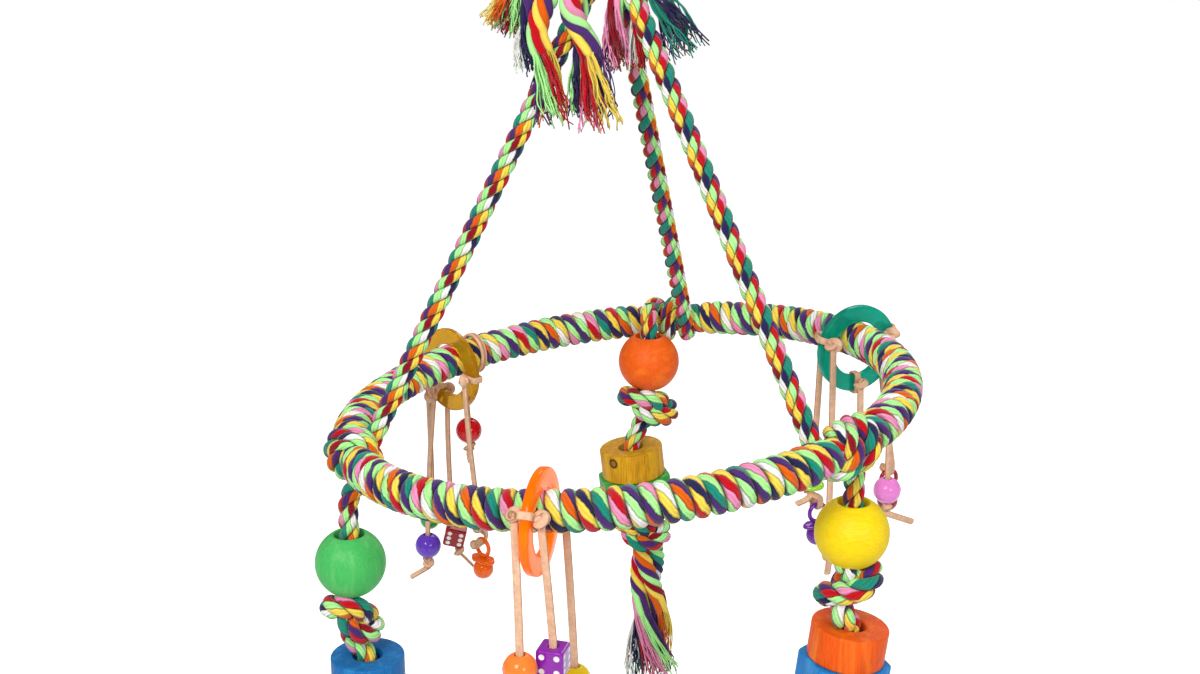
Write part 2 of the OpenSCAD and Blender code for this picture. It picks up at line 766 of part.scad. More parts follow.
module tail_left() {
    color("gold")
        union() {
            apex_tail(240, tail_l, rope_d * 1.9, rope_d * 2.9, 9);
            apex_tail(212, tail_l * 0.76, rope_d * 0.9, rope_d * 1.3, 50);
        }
}
module tail_middle() { color("orchid") apex_tail(278, tail_l * 0.72, rope_d, rope_d * 1.6, 4); }
module tail_right() { color("teal") apex_tail(355, tail_l * 0.7, rope_d * 1.6, rope_d * 2.5, 14); }

module leg_left() { color("palegreen") leg(left_foot_angle, hitch_end_angle, left_pivot); }
module leg_right() { color("palegreen") leg(right_foot_angle, hitch_end_angle, right_pivot); }
module leg_back() { color("palegreen") leg(back_foot_angle, back_hitch_end_angle, back_pivot); }

module hoop_core() {
    color("dimgray")
        translate(hoop_c)
            rotate([0, -hoop_tilt, 0])
                rotate_extrude($fn = 120)
                    translate([hoop_r, 0])
                        circle(d = core_d, $fn = 32);
}

module wrap_front() { color("tomato") winding(front_arc[0], front_arc[1]); }
module wrap_right() { color("mediumseagreen") winding(right_arc[0], right_arc[1]); }
module wrap_back() { color("khaki") winding(back_arc[0], back_arc[1]); }

module rope_left() {
    color("palegreen")
        pendant_rope(left_pivot, left_ball, knot_w, knot_h, left_drum, left_lean_angle);
}
module rope_right() {
    color("palegreen")
        pendant_rope(right_pivot, right_ball, knot_w, right_knot_h, right_drum, right_lean_angle);
}
module rope_back() {
    color("palegreen")
        pendant_rope(back_pivot, back_ball, back_knot_w, back_knot_h, back_drum, back_lean_angle);
}

module tassel_left() { color("orchid") pendant_tassel(left_drum, left_lean_angle); }
module tassel_right() { color("orchid") pendant_tassel(right_drum, right_lean_angle); }
module tassel_back() { color("orchid") pendant_tassel(back_drum, back_lean_angle); }

module ball_green() { color("mediumseagreen") translate(left_ball) bored_ball(); }
module ball_yellow() { color("gold") translate(right_ball) bored_ball(); }
module ball_orange() { color("darkorange") translate(back_ball) bored_ball(); }

module drum_blue() { color("steelblue") on_bore(left_drum, left_lean_angle, 0) bored_drum(); }
module drum_orange() { color("darkorange") on_bore(right_drum, right_lean_angle, 0) bored_drum(); }
module drum_ochre() { color("darkgoldenrod") on_bore(back_drum, back_lean_angle, 0) bored_drum(); }

block_depth = drum_h + seat_gap;
module block_olive() {
    color("olive") on_bore(left_drum, left_lean_angle, block_depth) bored_block();
}
module block_blue() {
    color("dodgerblue")
        on_bore(right_drum, right_lean_angle, block_depth)
            rotate([0, 0, 20])
                bored_block();
}
module block_green() {
    color("forestgreen")
        on_bore(back_drum, back_lean_angle, block_depth)
            rotate([0, 0, 12])
                bored_block();
}

module acrylic_amber() { color("goldenrod", 0.7) acrylic_ring(amber_az); }
module acrylic_orange() { color("orange", 0.7) acrylic_ring(orange_az); }
module acrylic_teal() { color("teal", 0.7) acrylic_ring(teal_az); }

module ties_amber() {
    color("tan")
        in_ring(amber_az) {
            tie(amber_outer_tie_angle, [-1, 1]);
            tie(amber_inner_tie_angle, [1]);
        }
}
module ties_orange() {
    color("tan")
        in_ring(orange_az) {
            tie(orange_front_tie_angle, [-1, 1]);
            tie(orange_back_tie_angle, [1]);
        }
}
module ties_teal() {
    color("tan")
        in_ring(teal_az) {
            tie(teal_left_tie_angle, [-1, 1]);
            tie(teal_middle_tie_angle, [-1]);
            tie(teal_right_tie_angle, [-1, 1]);
        }
}

module laces_amber_left() {
    color("tan")
        in_ring(amber_az) {
            lace_to_dummy(lace_top(amber_outer_tie_angle, 1, lace_aside), at_dummy_green);
            lace(lace_top(amber_outer_tie_angle, 1, -lace_aside), at_bead_purple, bead_seat,
                tail_bead_purple);
            lace(lace_top(amber_outer_tie_angle, -1, 0), at_die_red, die_seat, tail_die_red);
        }
}
module lace_amber_right() {
    color("tan")
        in_ring(amber_az) {
            lace(lace_top(amber_inner_tie_angle, 1, 0), at_lime_amber, lime_seat, tail_lime_amber,
                lime_knot_r);
            lace_to_dummy(at_lime_amber - [0, 0, lime_seat], at_dummy_orange);
        }
}
module lace_hoop() {
    color("tan")
        in_hoop_tie() {
            rotate([90, 0, 0])
                rotate_extrude()
                    translate([hoop_tie_r, 0])
                        square([lace_t, lace_w], center = true);
            translate(hoop_knot)
                sphere(lace_knot_r);
            lace(hoop_knot, at_bead_red, bead_seat, tail_bead_red);
        }
}
module laces_orange_front() {
    color("tan")
        in_ring(orange_az) {
            lace(lace_top(orange_front_tie_angle, -1, 0), at_bead_orange, bead_seat,
                tail_bead_orange);
            lace(lace_top(orange_front_tie_angle, 1, 0), at_die_purple, die_w / 2 + lace_knot_r
                + seat_gap, tail_die_purple);
        }
}
module lace_orange_back() {
    color("tan")
        in_ring(orange_az)
            lace(lace_top(orange_back_tie_angle, 1, 0), at_bead_yellow, bead_seat,
                tail_bead_yellow);
}
module laces_teal_left() {
    color("tan")
        in_ring(teal_az) {
            lace(lace_top(teal_left_tie_angle, 1, 0), at_lime_teal, lime_seat, tail_lime_teal,
                lime_knot_r);
            lace_to_dummy(at_lime_teal - [0, 0, lime_seat], at_dummy_purple);
            lace(lace_top(teal_left_tie_angle, -1, 0), at_bead_blue, bead_seat, tail_bead_blue);
        }
}
module lace_teal_middle() {
    color("tan")
        in_ring(teal_az)
            lace(lace_top(teal_middle_tie_angle, -1, 0), at_die_green, die_w / 2 + lace_knot_r
                + seat_gap, tail_die_green);
}
module laces_teal_right() {
    color("tan")
        in_ring(teal_az) {
            lace(lace_top(teal_right_tie_angle, -1, 0), at_bead_pink, bead_seat, tail_bead_pink);
            lace_to_dummy(lace_top(teal_right_tie_angle, 1, 0), at_dummy_red);
        }
}

module dummy_green() { color("limegreen") in_ring(amber_az) translate(at_dummy_green) dummy(); }
module bead_purple() { color("indigo") in_ring(amber_az) translate(at_bead_purple) bead(); }
module die_red() {
    color("firebrick") in_ring(amber_az) translate(at_die_red) die(-die_lean_angle);
}
module bead_red() { color("crimson") in_hoop_tie() translate(at_bead_red) bead(); }
module lime_ring_amber() {
    color("greenyellow") in_ring(amber_az) translate(at_lime_amber) lime_ring();
}
module dummy_orange() {
    color("orangered") in_ring(amber_az) translate(at_dummy_orange) dummy();
}
module bead_orange() { color("darkorange") in_ring(orange_az) translate(at_bead_orange) bead(); }
module die_purple() { color("purple") in_ring(orange_az) translate(at_die_purple) die(0); }
module bead_yellow() { color("yellow") in_ring(orange_az) translate(at_bead_yellow) bead(); }
module lime_ring_teal() {
    color("greenyellow") in_ring(teal_az) translate(at_lime_teal) lime_ring();
}
module dummy_purple() { color("purple") in_ring(teal_az) translate(at_dummy_purple) dummy(); }
module bead_blue() { color("royalblue") in_ring(teal_az) translate(at_bead_blue) bead(); }
module die_green() { color("green") in_ring(teal_az) translate(at_die_green) die(0); }
module bead_pink() { color("hotpink") in_ring(teal_az) translate(at_bead_pink) bead(); }
module dummy_red() { color("firebrick") in_ring(teal_az) translate(at_dummy_red) dummy(); }

quick_link();
link_sleeve();
top_ring();
apex_knot();
tail_left();
tail_middle();
tail_right();
leg_left();
leg_right();
leg_back();
hoop_core();
wrap_front();
wrap_right();
wrap_back();
rope_left();
rope_right();
rope_back();
tassel_left();
tassel_right();
tassel_back();
ball_green();
ball_yellow();
ball_orange();
drum_blue();
drum_orange();
drum_ochre();
block_olive();
block_blue();
block_green();
acrylic_amber();
acrylic_orange();
acrylic_teal();
ties_amber();
ties_orange();
ties_teal();
laces_amber_left();
lace_amber_right();
lace_hoop();
laces_orange_front();
lace_orange_back();
laces_teal_left();
lace_teal_middle();
laces_teal_right();
dummy_green();
bead_purple();
die_red();
bead_red();
lime_ring_amber();
dummy_orange();
bead_orange();
die_purple();
bead_yellow();
lime_ring_teal();
dummy_purple();
bead_blue();
die_green();
bead_pink();
dummy_red();
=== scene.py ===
# %% [markdown]
# # A hanging bird swing
#
# The real swing is a steel hoop wound with soft cotton cord and hung on three legs of laid rope. Under each
# leg hangs a pendant of dyed wooden pieces with knots between them, and three acrylic rings on the hoop
# carry leather laces with plastic charms. The CAD model gives every solid its place; this lesson gives each
# one the surface that the eye expects. Nearly all of it is one idea: a closed outline carried along a path.
# Rope, cord, yarn, lace and wire differ only in the outline, its twist and the path.
#
# The first step loads the imported CAD model, which stays fixed.

# %% Load the frame
import json

import bmesh
import bpy
import numpy as np
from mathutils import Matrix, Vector


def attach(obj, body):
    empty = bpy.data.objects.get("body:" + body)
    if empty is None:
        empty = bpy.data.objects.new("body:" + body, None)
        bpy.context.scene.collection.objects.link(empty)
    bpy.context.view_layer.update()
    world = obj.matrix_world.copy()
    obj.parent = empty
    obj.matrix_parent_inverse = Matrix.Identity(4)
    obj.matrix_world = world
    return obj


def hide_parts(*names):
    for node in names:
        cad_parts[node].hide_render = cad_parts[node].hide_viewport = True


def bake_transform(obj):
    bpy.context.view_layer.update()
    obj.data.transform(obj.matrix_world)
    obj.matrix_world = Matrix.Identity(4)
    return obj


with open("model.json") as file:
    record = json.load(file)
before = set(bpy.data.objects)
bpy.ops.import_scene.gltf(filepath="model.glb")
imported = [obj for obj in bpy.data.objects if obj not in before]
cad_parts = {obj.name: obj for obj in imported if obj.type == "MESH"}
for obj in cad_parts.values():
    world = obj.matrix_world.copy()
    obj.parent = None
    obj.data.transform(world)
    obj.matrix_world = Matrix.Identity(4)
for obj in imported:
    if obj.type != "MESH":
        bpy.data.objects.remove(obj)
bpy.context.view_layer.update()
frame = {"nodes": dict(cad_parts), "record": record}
record = frame["record"]
body_of_node = {node: body for body, nodes in record["behaviour"]["bodies"].items() for node in nodes}

# %% [markdown]
# ## Camera, light and floor
#
# The camera comes first, so that every later piece is seen from where the photograph was taken. Its place
# was worked out from the hoop: a circle of known size that shows as an ellipse fixes the distance and the
# tilt. A large soft light above and in front of the object, a weaker one at the right and one behind, and a
# white surround are what a product photographer would set up. The surround is pure white only for the
# camera and through clear plastic. It lights the object no more than a grey room would, and gloss mirrors a
# darker room still, with the lights as highlights.

# %% Camera
PHOTO_WIDTH, LENS_PIXELS, SENSOR_MM = 1200, 1615, 36.0
CAMERA_AT, LOOKS_DOWN, LOOKS_LEFT = (-0.0045, -0.991, -0.068), 16.88, 0.19
camera = bpy.data.objects.new("camera", bpy.data.cameras.new("camera"))
bpy.context.scene.collection.objects.link(camera)
camera.data.sensor_width = SENSOR_MM
camera.data.lens = LENS_PIXELS / PHOTO_WIDTH * SENSOR_MM
camera.location = CAMERA_AT
camera.rotation_euler = np.radians((90 - LOOKS_DOWN, 0, LOOKS_LEFT))
bpy.context.scene.camera = camera
bpy.context.scene.view_settings.view_transform = "Standard"
print("lens", round(camera.data.lens, 1), "mm")


# %% One function that adds any node
def linear(hex_colour):
    """The linear colour of an sRGB hex value: each channel's curve is undone."""
    c = np.array([int(hex_colour[i:i + 2], 16) / 255 for i in (0, 2, 4)])
    return (*np.where(c <= 0.04045, c / 12.92, ((c + 0.055) / 1.055) ** 2.4), 1.0)


def add(tree, kind, inputs=None, **settings):
    """Adds one node of a kind, sets its properties, and gives each input a value or a link. A node that is
    given as an input stands for its first output."""
    node = tree.nodes.new("ShaderNode" + kind)
    for name, value in settings.items():
        setattr(node, name, value)
    for key, value in (inputs or {}).items():
        source = value.outputs[0] if isinstance(value, bpy.types.Node) else value
        if isinstance(source, bpy.types.NodeSocket):
            tree.links.new(source, node.inputs[key])
        else:
            node.inputs[key].default_value = source
    return node


def blank(name):
    """A new material with an empty node tree."""
    material = bpy.data.materials.new(name)
    material.use_nodes = True
    material.node_tree.nodes.clear()
    return material, material.node_tree


print("hex 808080 is", round(linear("808080")[0], 3), "in linear light")

# %% Surround: white to the eye, a soft grey to the object, darker in reflections
ROOM_LIGHT, ROOM_IN_GLOSS = 0.56, 0.30
world = bpy.data.worlds.new("surround")
bpy.context.scene.world = world
world.use_nodes = True
world.node_tree.nodes.clear()
t = world.node_tree
rays = add(t, "LightPath")
seen = add(t, "Math", {0: rays.outputs["Is Camera Ray"], 1: rays.outputs["Is Transmission Ray"]},
           operation="MAXIMUM")
dim = add(t, "Math", {0: rays.outputs["Is Glossy Ray"], 1: ROOM_IN_GLOSS - ROOM_LIGHT, 2: ROOM_LIGHT},
          operation="MULTIPLY_ADD")
room = add(t, "Background", {"Color": (1, 1, 1, 1), "Strength": dim})
white = add(t, "Background", {"Color": (1, 1, 1, 1), "Strength": 1.0})
both = add(t, "MixShader", {0: seen, 1: room, 2: white})
add(t, "OutputWorld", {"Surface": both})
print("room light", ROOM_LIGHT, "and in gloss", ROOM_IN_GLOSS)

# %% Soft lights, each aimed at the middle of the hoop
HOOP_LEVEL = Vector((0, 0, -0.42))


def softbox(name, place, size, watts):
    """A square area light at a place in metres, turned to face the hoop."""
    lamp = bpy.data.objects.new(name, bpy.data.lights.new(name, "AREA"))
    bpy.context.scene.collection.objects.link(lamp)
    lamp.data.shape, lamp.data.size, lamp.data.energy = "SQUARE", size, watts
    lamp.location = place
    lamp.rotation_euler = (HOOP_LEVEL - lamp.location).to_track_quat("-Z", "Y").to_euler()


softbox("key", (-0.7, -1.7, 0.9), 0.75, 29)
softbox("fill", (1.0, -1.8, 0.3), 0.6, 11)
softbox("rim", (0.5, 1.5, 0.9), 1.0, 11)
print("lights", [lamp.name for lamp in bpy.data.lights])

# %% A pale floor far below the hanging swing
FLOOR_Z, FLOOR_HALF, FLOOR_GLOW = -1.05, 6.0, 0.55
corners = np.array([(-1, -1), (1, -1), (1, 1), (-1, 1)]) * FLOOR_HALF
floor_mesh = bpy.data.meshes.new("floor")
floor_mesh.from_pydata([(x, y, FLOOR_Z) for x, y in corners], [], [(0, 1, 2, 3)])
floor = bpy.data.objects.new("floor", floor_mesh)
bpy.context.scene.collection.objects.link(floor)
paper, t = blank("pale paper")
rays = add(t, "LightPath")
matt = add(t, "BsdfDiffuse", {"Color": linear("F6F6F6")})
glow = add(t, "Emission", {"Color": (1, 1, 1, 1), "Strength": FLOOR_GLOW})
lit = add(t, "AddShader", {0: matt, 1: glow})
plain = add(t, "BsdfDiffuse", {"Color": linear("C8C8C8")})
seen = add(t, "Math", {0: rays.outputs["Is Camera Ray"], 1: rays.outputs["Is Glossy Ray"]},
           operation="MAXIMUM")
seen = add(t, "Math", {0: seen, 1: rays.outputs["Is Transmission Ray"]}, operation="MAXIMUM")
both = add(t, "MixShader", {0: seen, 1: plain, 2: lit})
add(t, "OutputMaterial", {"Surface": both})
floor_mesh.materials.append(paper)

# %% [markdown]
# ## Paths and outlines
#
# A rope could be made with a bevelled curve, but a curve can't twist three strands or flatten a cord. So
# each path is a row of points, and two sides are worked out at each of them. The sides must not spin of
# their own accord, or the strands would bunch up, so the turning between neighbours is measured, added up
# along the path and taken out again. Every step is done to all points at once. Lengths are millimetres
# here, as in the CAD source, and become metres in the one function that writes a mesh.

# %% Vectors and paths
MM = 0.001
rng = np.random.default_rng(7)


def unit(v):
    """A vector, or each of many, divided by its length."""
    return v / np.linalg.norm(v, axis=-1, keepdims=True)


def run(path):
    """How far along a path each of its points lies."""
    gaps = np.linalg.norm(np.diff(path, axis=-2), axis=-1)
    return np.concatenate([np.zeros(gaps.shape[:-1] + (1,)), np.cumsum(gaps, axis=-1)], axis=-1)


def even(path, step):
    """The same path with points about one step apart."""
    s = run(path)
    at = np.linspace(0, s[-1], max(3, int(round(s[-1] / step)) + 1))
    return np.stack([np.interp(at, s, path[:, k]) for k in range(3)], axis=1)


def soften(path, rounds):
    """Rounds the corners: each point moves half way to the middle of its neighbours, again and again."""
    for _ in range(rounds):
        path = np.concatenate([path[:1], path[1:-1] / 2 + (path[:-2] + path[2:]) / 4, path[-1:]])
    return path


def through(points, step):
    """A smooth curve through points: cubic stretches that leave each point along the line between its
    neighbours."""
    p = np.array(points, float)
    q = np.vstack([2 * p[0] - p[1], p, 2 * p[-1] - p[-2]])
    t = np.linspace(0, len(p) - 1, 40 * (len(p) - 1) + 1)
    i = np.minimum(t.astype(int), len(p) - 2)
    f = (t - i)[:, None]
    a, b, c, d = q[i], q[i + 1], q[i + 2], q[i + 3]
    bend, swing = a - 2.5 * b + 2 * c - d / 2, 1.5 * (b - c) + (d - a) / 2
    return even(b + (c - a) * f / 2 + bend * f**2 + swing * f**3, step)


trial = through([(0, 0, 0), (50, 0, 20), (100, 0, 0)], 5.0)
print("a trial curve is", round(run(trial)[-1], 1), "mm long and has", len(trial), "points")

# %% Sides of a path, and an outline carried along it
UNLIKELY_WAY = np.array([0.31, 0.23, 0.92])  # no cord here runs along it, so it gives a side to start from


def sides(path, first=None):
    """Direction and two sides at each point of one path, or of many at once. A first guess at the sides is
    turned back by the sum of its own turning, so that they turn no more than the path does."""
    d = unit(np.gradient(path, axis=-2))
    n = unit(np.cross(d, UNLIKELY_WAY))
    b = np.cross(d, n)
    moved = n[..., :-1, :] - (n[..., :-1, :] * d[..., 1:, :]).sum(-1, keepdims=True) * d[..., 1:, :]
    ahead = (moved * n[..., 1:, :]).sum(-1)
    aside = (np.cross(moved, n[..., 1:, :]) * d[..., 1:, :]).sum(-1)
    turn = np.arctan2(aside, ahead)
    a = np.concatenate([np.zeros(turn.shape[:-1] + (1,)), np.cumsum(turn, axis=-1)], axis=-1)
    if first is not None:
        a = a - np.arctan2((b[..., :1, :] * first).sum(-1), (n[..., :1, :] * first).sum(-1))
    a = a[..., None]
    return d, n * np.cos(a) - b * np.sin(a), n * np.sin(a) + b * np.cos(a)


def carried(path, outline, turn=0.0, size=1.0, first=None, pair=None):
    """An outline carried along a path: point = path + side * x + other side * y, where the outline is
    turned and scaled by its own amount at each point of the path. `pair` gives the two sides where they are
    known."""
    n, b = pair if pair is not None else sides(path, first)[1:]
    turn = np.broadcast_to(turn, path.shape[:-1])[..., None]
    size = np.broadcast_to(size, path.shape[:-1])[..., None]
    x = (outline[..., 0] * np.cos(turn) - outline[..., 1] * np.sin(turn)) * size
    y = (outline[..., 0] * np.sin(turn) + outline[..., 1] * np.cos(turn)) * size
    return path[..., None, :] + n[..., None, :] * x[..., None] + b[..., None, :] * y[..., None]


def round_ends(path, reach):
    """Scale of an outline along a path, shrinking like a dome over `reach` at each end."""
    s = run(path)
    left = np.clip(s / reach, 0.02, 1)
    right = np.clip((s[..., -1:] - s) / reach, 0.02, 1)
    return np.sqrt(1 - (1 - left) ** 2) * np.sqrt(1 - (1 - right) ** 2)


def oval(half_x, half_y, points, square=1.0):
    """An outline of x = half width * cos and y = half height * sin; a `square` below 1 fills its
    corners."""
    a = np.linspace(0, 2 * np.pi, points, endpoint=False)
    c, s = np.cos(a), np.sin(a)
    x, y = half_x * np.sign(c) * np.abs(c) ** square, half_y * np.sign(s) * np.abs(s) ** square
    return np.stack([x, y], axis=-1)


trial_tube = carried(trial, oval(3.0, 3.0, 12))
print("a tube along it has", trial_tube.shape[0], "rings of", trial_tube.shape[1], "points")


# %% Grids of points become faces
def skin(grid, u=None, v=None, dye=0.0, ring=False):
    """Faces over a grid of points (tubes, rings, points round, 3): four-sided between neighbours, and one
    flat face over each open end. u runs round the outline and v along the path, for patterns that follow
    the surface."""
    grid = grid.reshape((-1,) + grid.shape[-3:])
    k, r, a = grid.shape[:3]
    rings = r if ring else r - 1
    i, j = np.meshgrid(np.arange(rings), np.arange(a), indexing="ij")
    i2, j2 = (i + 1) % r, (j + 1) % a
    quad = np.stack([i * a + j, i * a + j2, i2 * a + j2, i2 * a + j], axis=-1).reshape(-1, 4)
    first = np.arange(k) * r * a
    faces = [(first[:, None, None] + quad).reshape(-1, 4)]
    u = np.linspace(0, 1, a + 1) if u is None else u
    v = run(grid.mean(axis=2)) if v is None else np.broadcast_to(v, (k, np.shape(v)[-1]))
    if ring and v.shape[-1] == r:
        v = np.concatenate([v, 2 * v[:, -1:] - v[:, -2:-1]], axis=1)
    uu = np.stack([u[j], u[j + 1], u[j + 1], u[j]], axis=-1).reshape(1, -1, 4)
    vv = np.stack([v[:, i], v[:, i], v[:, i + 1], v[:, i + 1]], axis=-1).reshape(k, -1, 4)
    uvs = [np.stack(np.broadcast_arrays(uu, vv), axis=-1).reshape(-1, 4, 2)]
    if not ring:
        for row, end in ((np.arange(a)[::-1], 0), ((r - 1) * a + np.arange(a), -1)):
            faces.append(first[:, None] + row)
            uvs.append(np.stack(np.broadcast_arrays(u[row % a], v[:, end][:, None]), axis=-1))
    dyes = np.repeat(np.broadcast_to(dye, (k,)).astype(float), r * a)
    return {"points": grid.reshape(-1, 3), "faces": faces, "uv": uvs, "dye": dyes}


print("its skin has", sum(len(faces) for faces in skin(trial_tube)["faces"]), "faces")

# %% Faces become a piece
triangles = {}


def piece(name, parts, material, node, rides=True):
    """One finished object from skins, in metres, with a UV map and a dye number per point, in the material
    that it is given. It hides its CAD node and stands for it, and rides on that node's body unless `rides`
    is false."""
    parts = [parts] if isinstance(parts, dict) else list(parts)
    shift = np.cumsum([0] + [len(p["points"]) for p in parts])
    faces = [f + s for p, s in zip(parts, shift) for f in p["faces"]]
    points = np.concatenate([p["points"] for p in parts]) * MM
    corner = np.concatenate([f.ravel() for f in faces])
    size = np.concatenate([np.full(len(f), f.shape[1]) for f in faces])
    uv = np.concatenate([q.reshape(-1, 2) for p in parts for q in p["uv"]])
    mesh = bpy.data.meshes.new(name)
    mesh.vertices.add(len(points))
    mesh.vertices.foreach_set("co", points.astype(np.float32).ravel())
    mesh.loops.add(len(corner))
    mesh.loops.foreach_set("vertex_index", corner.astype(np.int32))
    mesh.polygons.add(len(size))
    mesh.polygons.foreach_set("loop_start", (np.cumsum(size) - size).astype(np.int32))
    mesh.polygons.foreach_set("use_smooth", size == 4)
    mesh.uv_layers.new(name="Yarn").data.foreach_set("uv", uv.astype(np.float32).ravel())
    dyes = mesh.attributes.new("dye", "FLOAT", "POINT")
    dyes.data.foreach_set("value", np.concatenate([p["dye"] for p in parts]).astype(np.float32))
    mesh.update(calc_edges=True)
    mesh.materials.append(material)
    thing = bpy.data.objects.new(name, mesh)
    bpy.context.scene.collection.objects.link(thing)
    if rides:
        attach(thing, body_of_node[node])
    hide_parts(node)
    triangles[name] = int((size - 2).sum())
    return thing


# %% [markdown]
# ## Where things are
#
# The script can't read the CAD source, so it repeats the few numbers that fix the routes: the hoop's
# middle, its tilt, where each leg reaches it and where each pendant hangs. Each is a length in millimetres
# or an angle in degrees, measured round the hoop from its right side towards its back.

# %% The hoop and points round its core
HOOP_MIDDLE, HOOP_RADIUS, TILT = np.array([8.0, 0, -411.1]), 178.0, np.radians(6.5)
HOOP_UP = np.array([-np.sin(TILT), 0, np.cos(TILT)])
APEX_Z = -126.1


def cosd(angle):
    """Cosine of degrees."""
    return np.cos(np.radians(angle))


def sind(angle):
    """Sine of degrees."""
    return np.sin(np.radians(angle))


def level_out(az):
    """Level direction outwards at an angle round the hoop."""
    return np.stack([cosd(az), sind(az), 0 * az], axis=-1)


def on_hoop(az, rho, psi):
    """A point beside the hoop's core: out along the tilted radius by rho * cos, up by rho * sin."""
    az, rho, psi = np.broadcast_arrays(np.asarray(az, float), rho, psi)
    out = np.stack([cosd(az) * np.cos(TILT), sind(az), cosd(az) * np.sin(TILT)], axis=-1)
    away, up = (HOOP_RADIUS + rho * cosd(psi))[..., None], (rho * sind(psi))[..., None]
    return HOOP_MIDDLE + out * away + HOOP_UP * up


print("the hoop's right side is", round((on_hoop(0, 0, 0) - on_hoop(180, 0, 0))[2], 1), "mm above its left")


# %% The three pendants
# The leg meets the hoop at `foot` and its hitch ends at `hitch_end`, an angle round the tube. The pivot and
# the ball hang below that, `out` from the hoop. The drum's top is beside and below the ball, and its bore
# leans. The upper knot is `upper` below the ball; `knot` is its width and height, and `spin` turns both
# knots.
HITCH_START, HITCH_PITCH, HITCH_R, ROPE_R = 212.0, 4.99537, 11.4, 6.5
PENDANTS = {
    "left": dict(foot=190.0, hitch_end=900.0, out=6.0, pivot_drop=36.0, ball_drop=68.0, drum=(8.0, -64.0),
                 lean=0.0, upper=36.4, knot=(0.96, 1.14), spin=(150, 40)),
    "right": dict(foot=311.0, hitch_end=900.0, out=-4.0, pivot_drop=30.0, ball_drop=60.0, drum=(2.0, -60.0),
                  lean=6.5, upper=34.7, knot=(1.0, 1.1), spin=(30, 160)),
    "back": dict(foot=73.5, hitch_end=840.0, out=-31.0, pivot_drop=0.0, ball_drop=23.0, drum=(-13.0, -67.0),
                 lean=-6.5, upper=33.1, knot=(1.15, 0.82), spin=(170, 200)),
}
LOWER_KNOT_DEPTH = 66.6
for name, p in PENDANTS.items():
    p["drop_az"] = p["foot"] + HITCH_PITCH * (p["hitch_end"] - HITCH_START) / 360
    hang = on_hoop(p["drop_az"], 0, 0) + level_out(p["drop_az"]) * p["out"]
    p["pivot"], p["ball"] = hang - [0, 0, p["pivot_drop"]], hang - [0, 0, p["ball_drop"]]
    p["high_knot"] = p["ball"] - [0, 0, p["upper"]]
    p["drum_top"] = p["ball"] + [p["drum"][0], 0, p["drum"][1]]
    p["axis"] = np.array([-sind(p["lean"]), 0, -cosd(p["lean"])])
    p["low_knot"] = p["drum_top"] + p["axis"] * LOWER_KNOT_DEPTH
    print(name, "pivot", np.round(p["pivot"], 1), "ball", np.round(p["ball"], 1))

# %% [markdown]
# ## An overhand knot
#
# A knot can be drawn by hand, point by point, but a drawn knot never sits as tight as a tied one. This one
# is tied by the computer: it starts as the loose curve x = t^3 - 3t, y = t^4 - 4t^2, z = (t^5 - 10t) / 6,
# whose middle is an overhand knot, and then the rope is drawn in. At each round the ends are pulled along
# the upright line, the points are kept evenly spaced, sharp bends are opened, and where two stretches come
# closer than one rope they push each other apart. All distances are in rope thicknesses, so one knot serves
# rope and leather.


# %% Tie the knot
def tie_knot(tall=2.8, length=11.5, rounds=420):
    """The middle line of a tight overhand knot along z, from top to bottom, in rope thicknesses."""
    t = np.linspace(2.2, -2.2, 400)
    p = even(np.stack([t**3 - 3 * t, t**4 - 4 * t**2, (t**5 - 10 * t) / 6], axis=1), 0.24)
    p -= p.mean(axis=0)
    i, j = np.triu_indices(len(p), 10)
    loose, half = run(p)[-1], abs(p[0, 2])
    for k in range(rounds):
        # The ends are drawn to the upright line and towards their last height.
        share = min(1, k / (0.6 * rounds))
        rest = (loose + (length - loose) * share) / (len(p) - 1)
        p[[0, -1], :2] *= 0.9
        p[[0, -1], 2] = np.array([1, -1]) * (half + (tall / 2 - half) * share)
        p[[1, -2], :2] = (p[[1, -2], :2] + p[[0, -1], :2]) / 2
        # Neighbours are brought back to the same distance, every other pair at a time.
        for odd in [0, 1] * 12:
            a, b = p[odd:-1:2], p[odd + 1::2]
            a = a[:len(b)]
            move = (b - a) * (1 - rest / np.linalg.norm(b - a, axis=1, keepdims=True)) / 2
            a += move
            b -= move
        # A bend tighter than the rope allows is opened: points half a turn apart are pushed away.
        m = max(2, int(round(0.55 / rest)))
        chord = p[2 * m:] - p[:-2 * m]
        long = np.linalg.norm(chord, axis=1, keepdims=True)
        push = np.maximum(0, 1.16 * np.sin(min(m * rest / 0.58, np.pi / 2)) / long - 1) * chord / 4
        p[:-2 * m] -= push
        p[2 * m:] += push
        # Stretches closer than one rope push each other apart.
        far = (j - i) >= int(round(1.35 / rest))
        gap = p[j[far]] - p[i[far]]
        near = np.linalg.norm(gap, axis=1) < 1
        ii, jj, gap = i[far][near], j[far][near], gap[near]
        push = gap * (1 / np.linalg.norm(gap, axis=1, keepdims=True) - 1) / 4
        shift, count = np.zeros_like(p), np.ones(len(p))
        np.add.at(shift, ii, -push)
        np.add.at(shift, jj, push)
        np.add.at(count, np.concatenate([ii, jj]), 1)
        p += shift / np.sqrt(count)[:, None]
        p[1:-1] = 0.9 * p[1:-1] + 0.05 * (p[:-2] + p[2:])
    return p


KNOT = tie_knot()
print("knot", np.round(np.ptp(KNOT, axis=0) + 1, 2), "rope thicknesses each way")


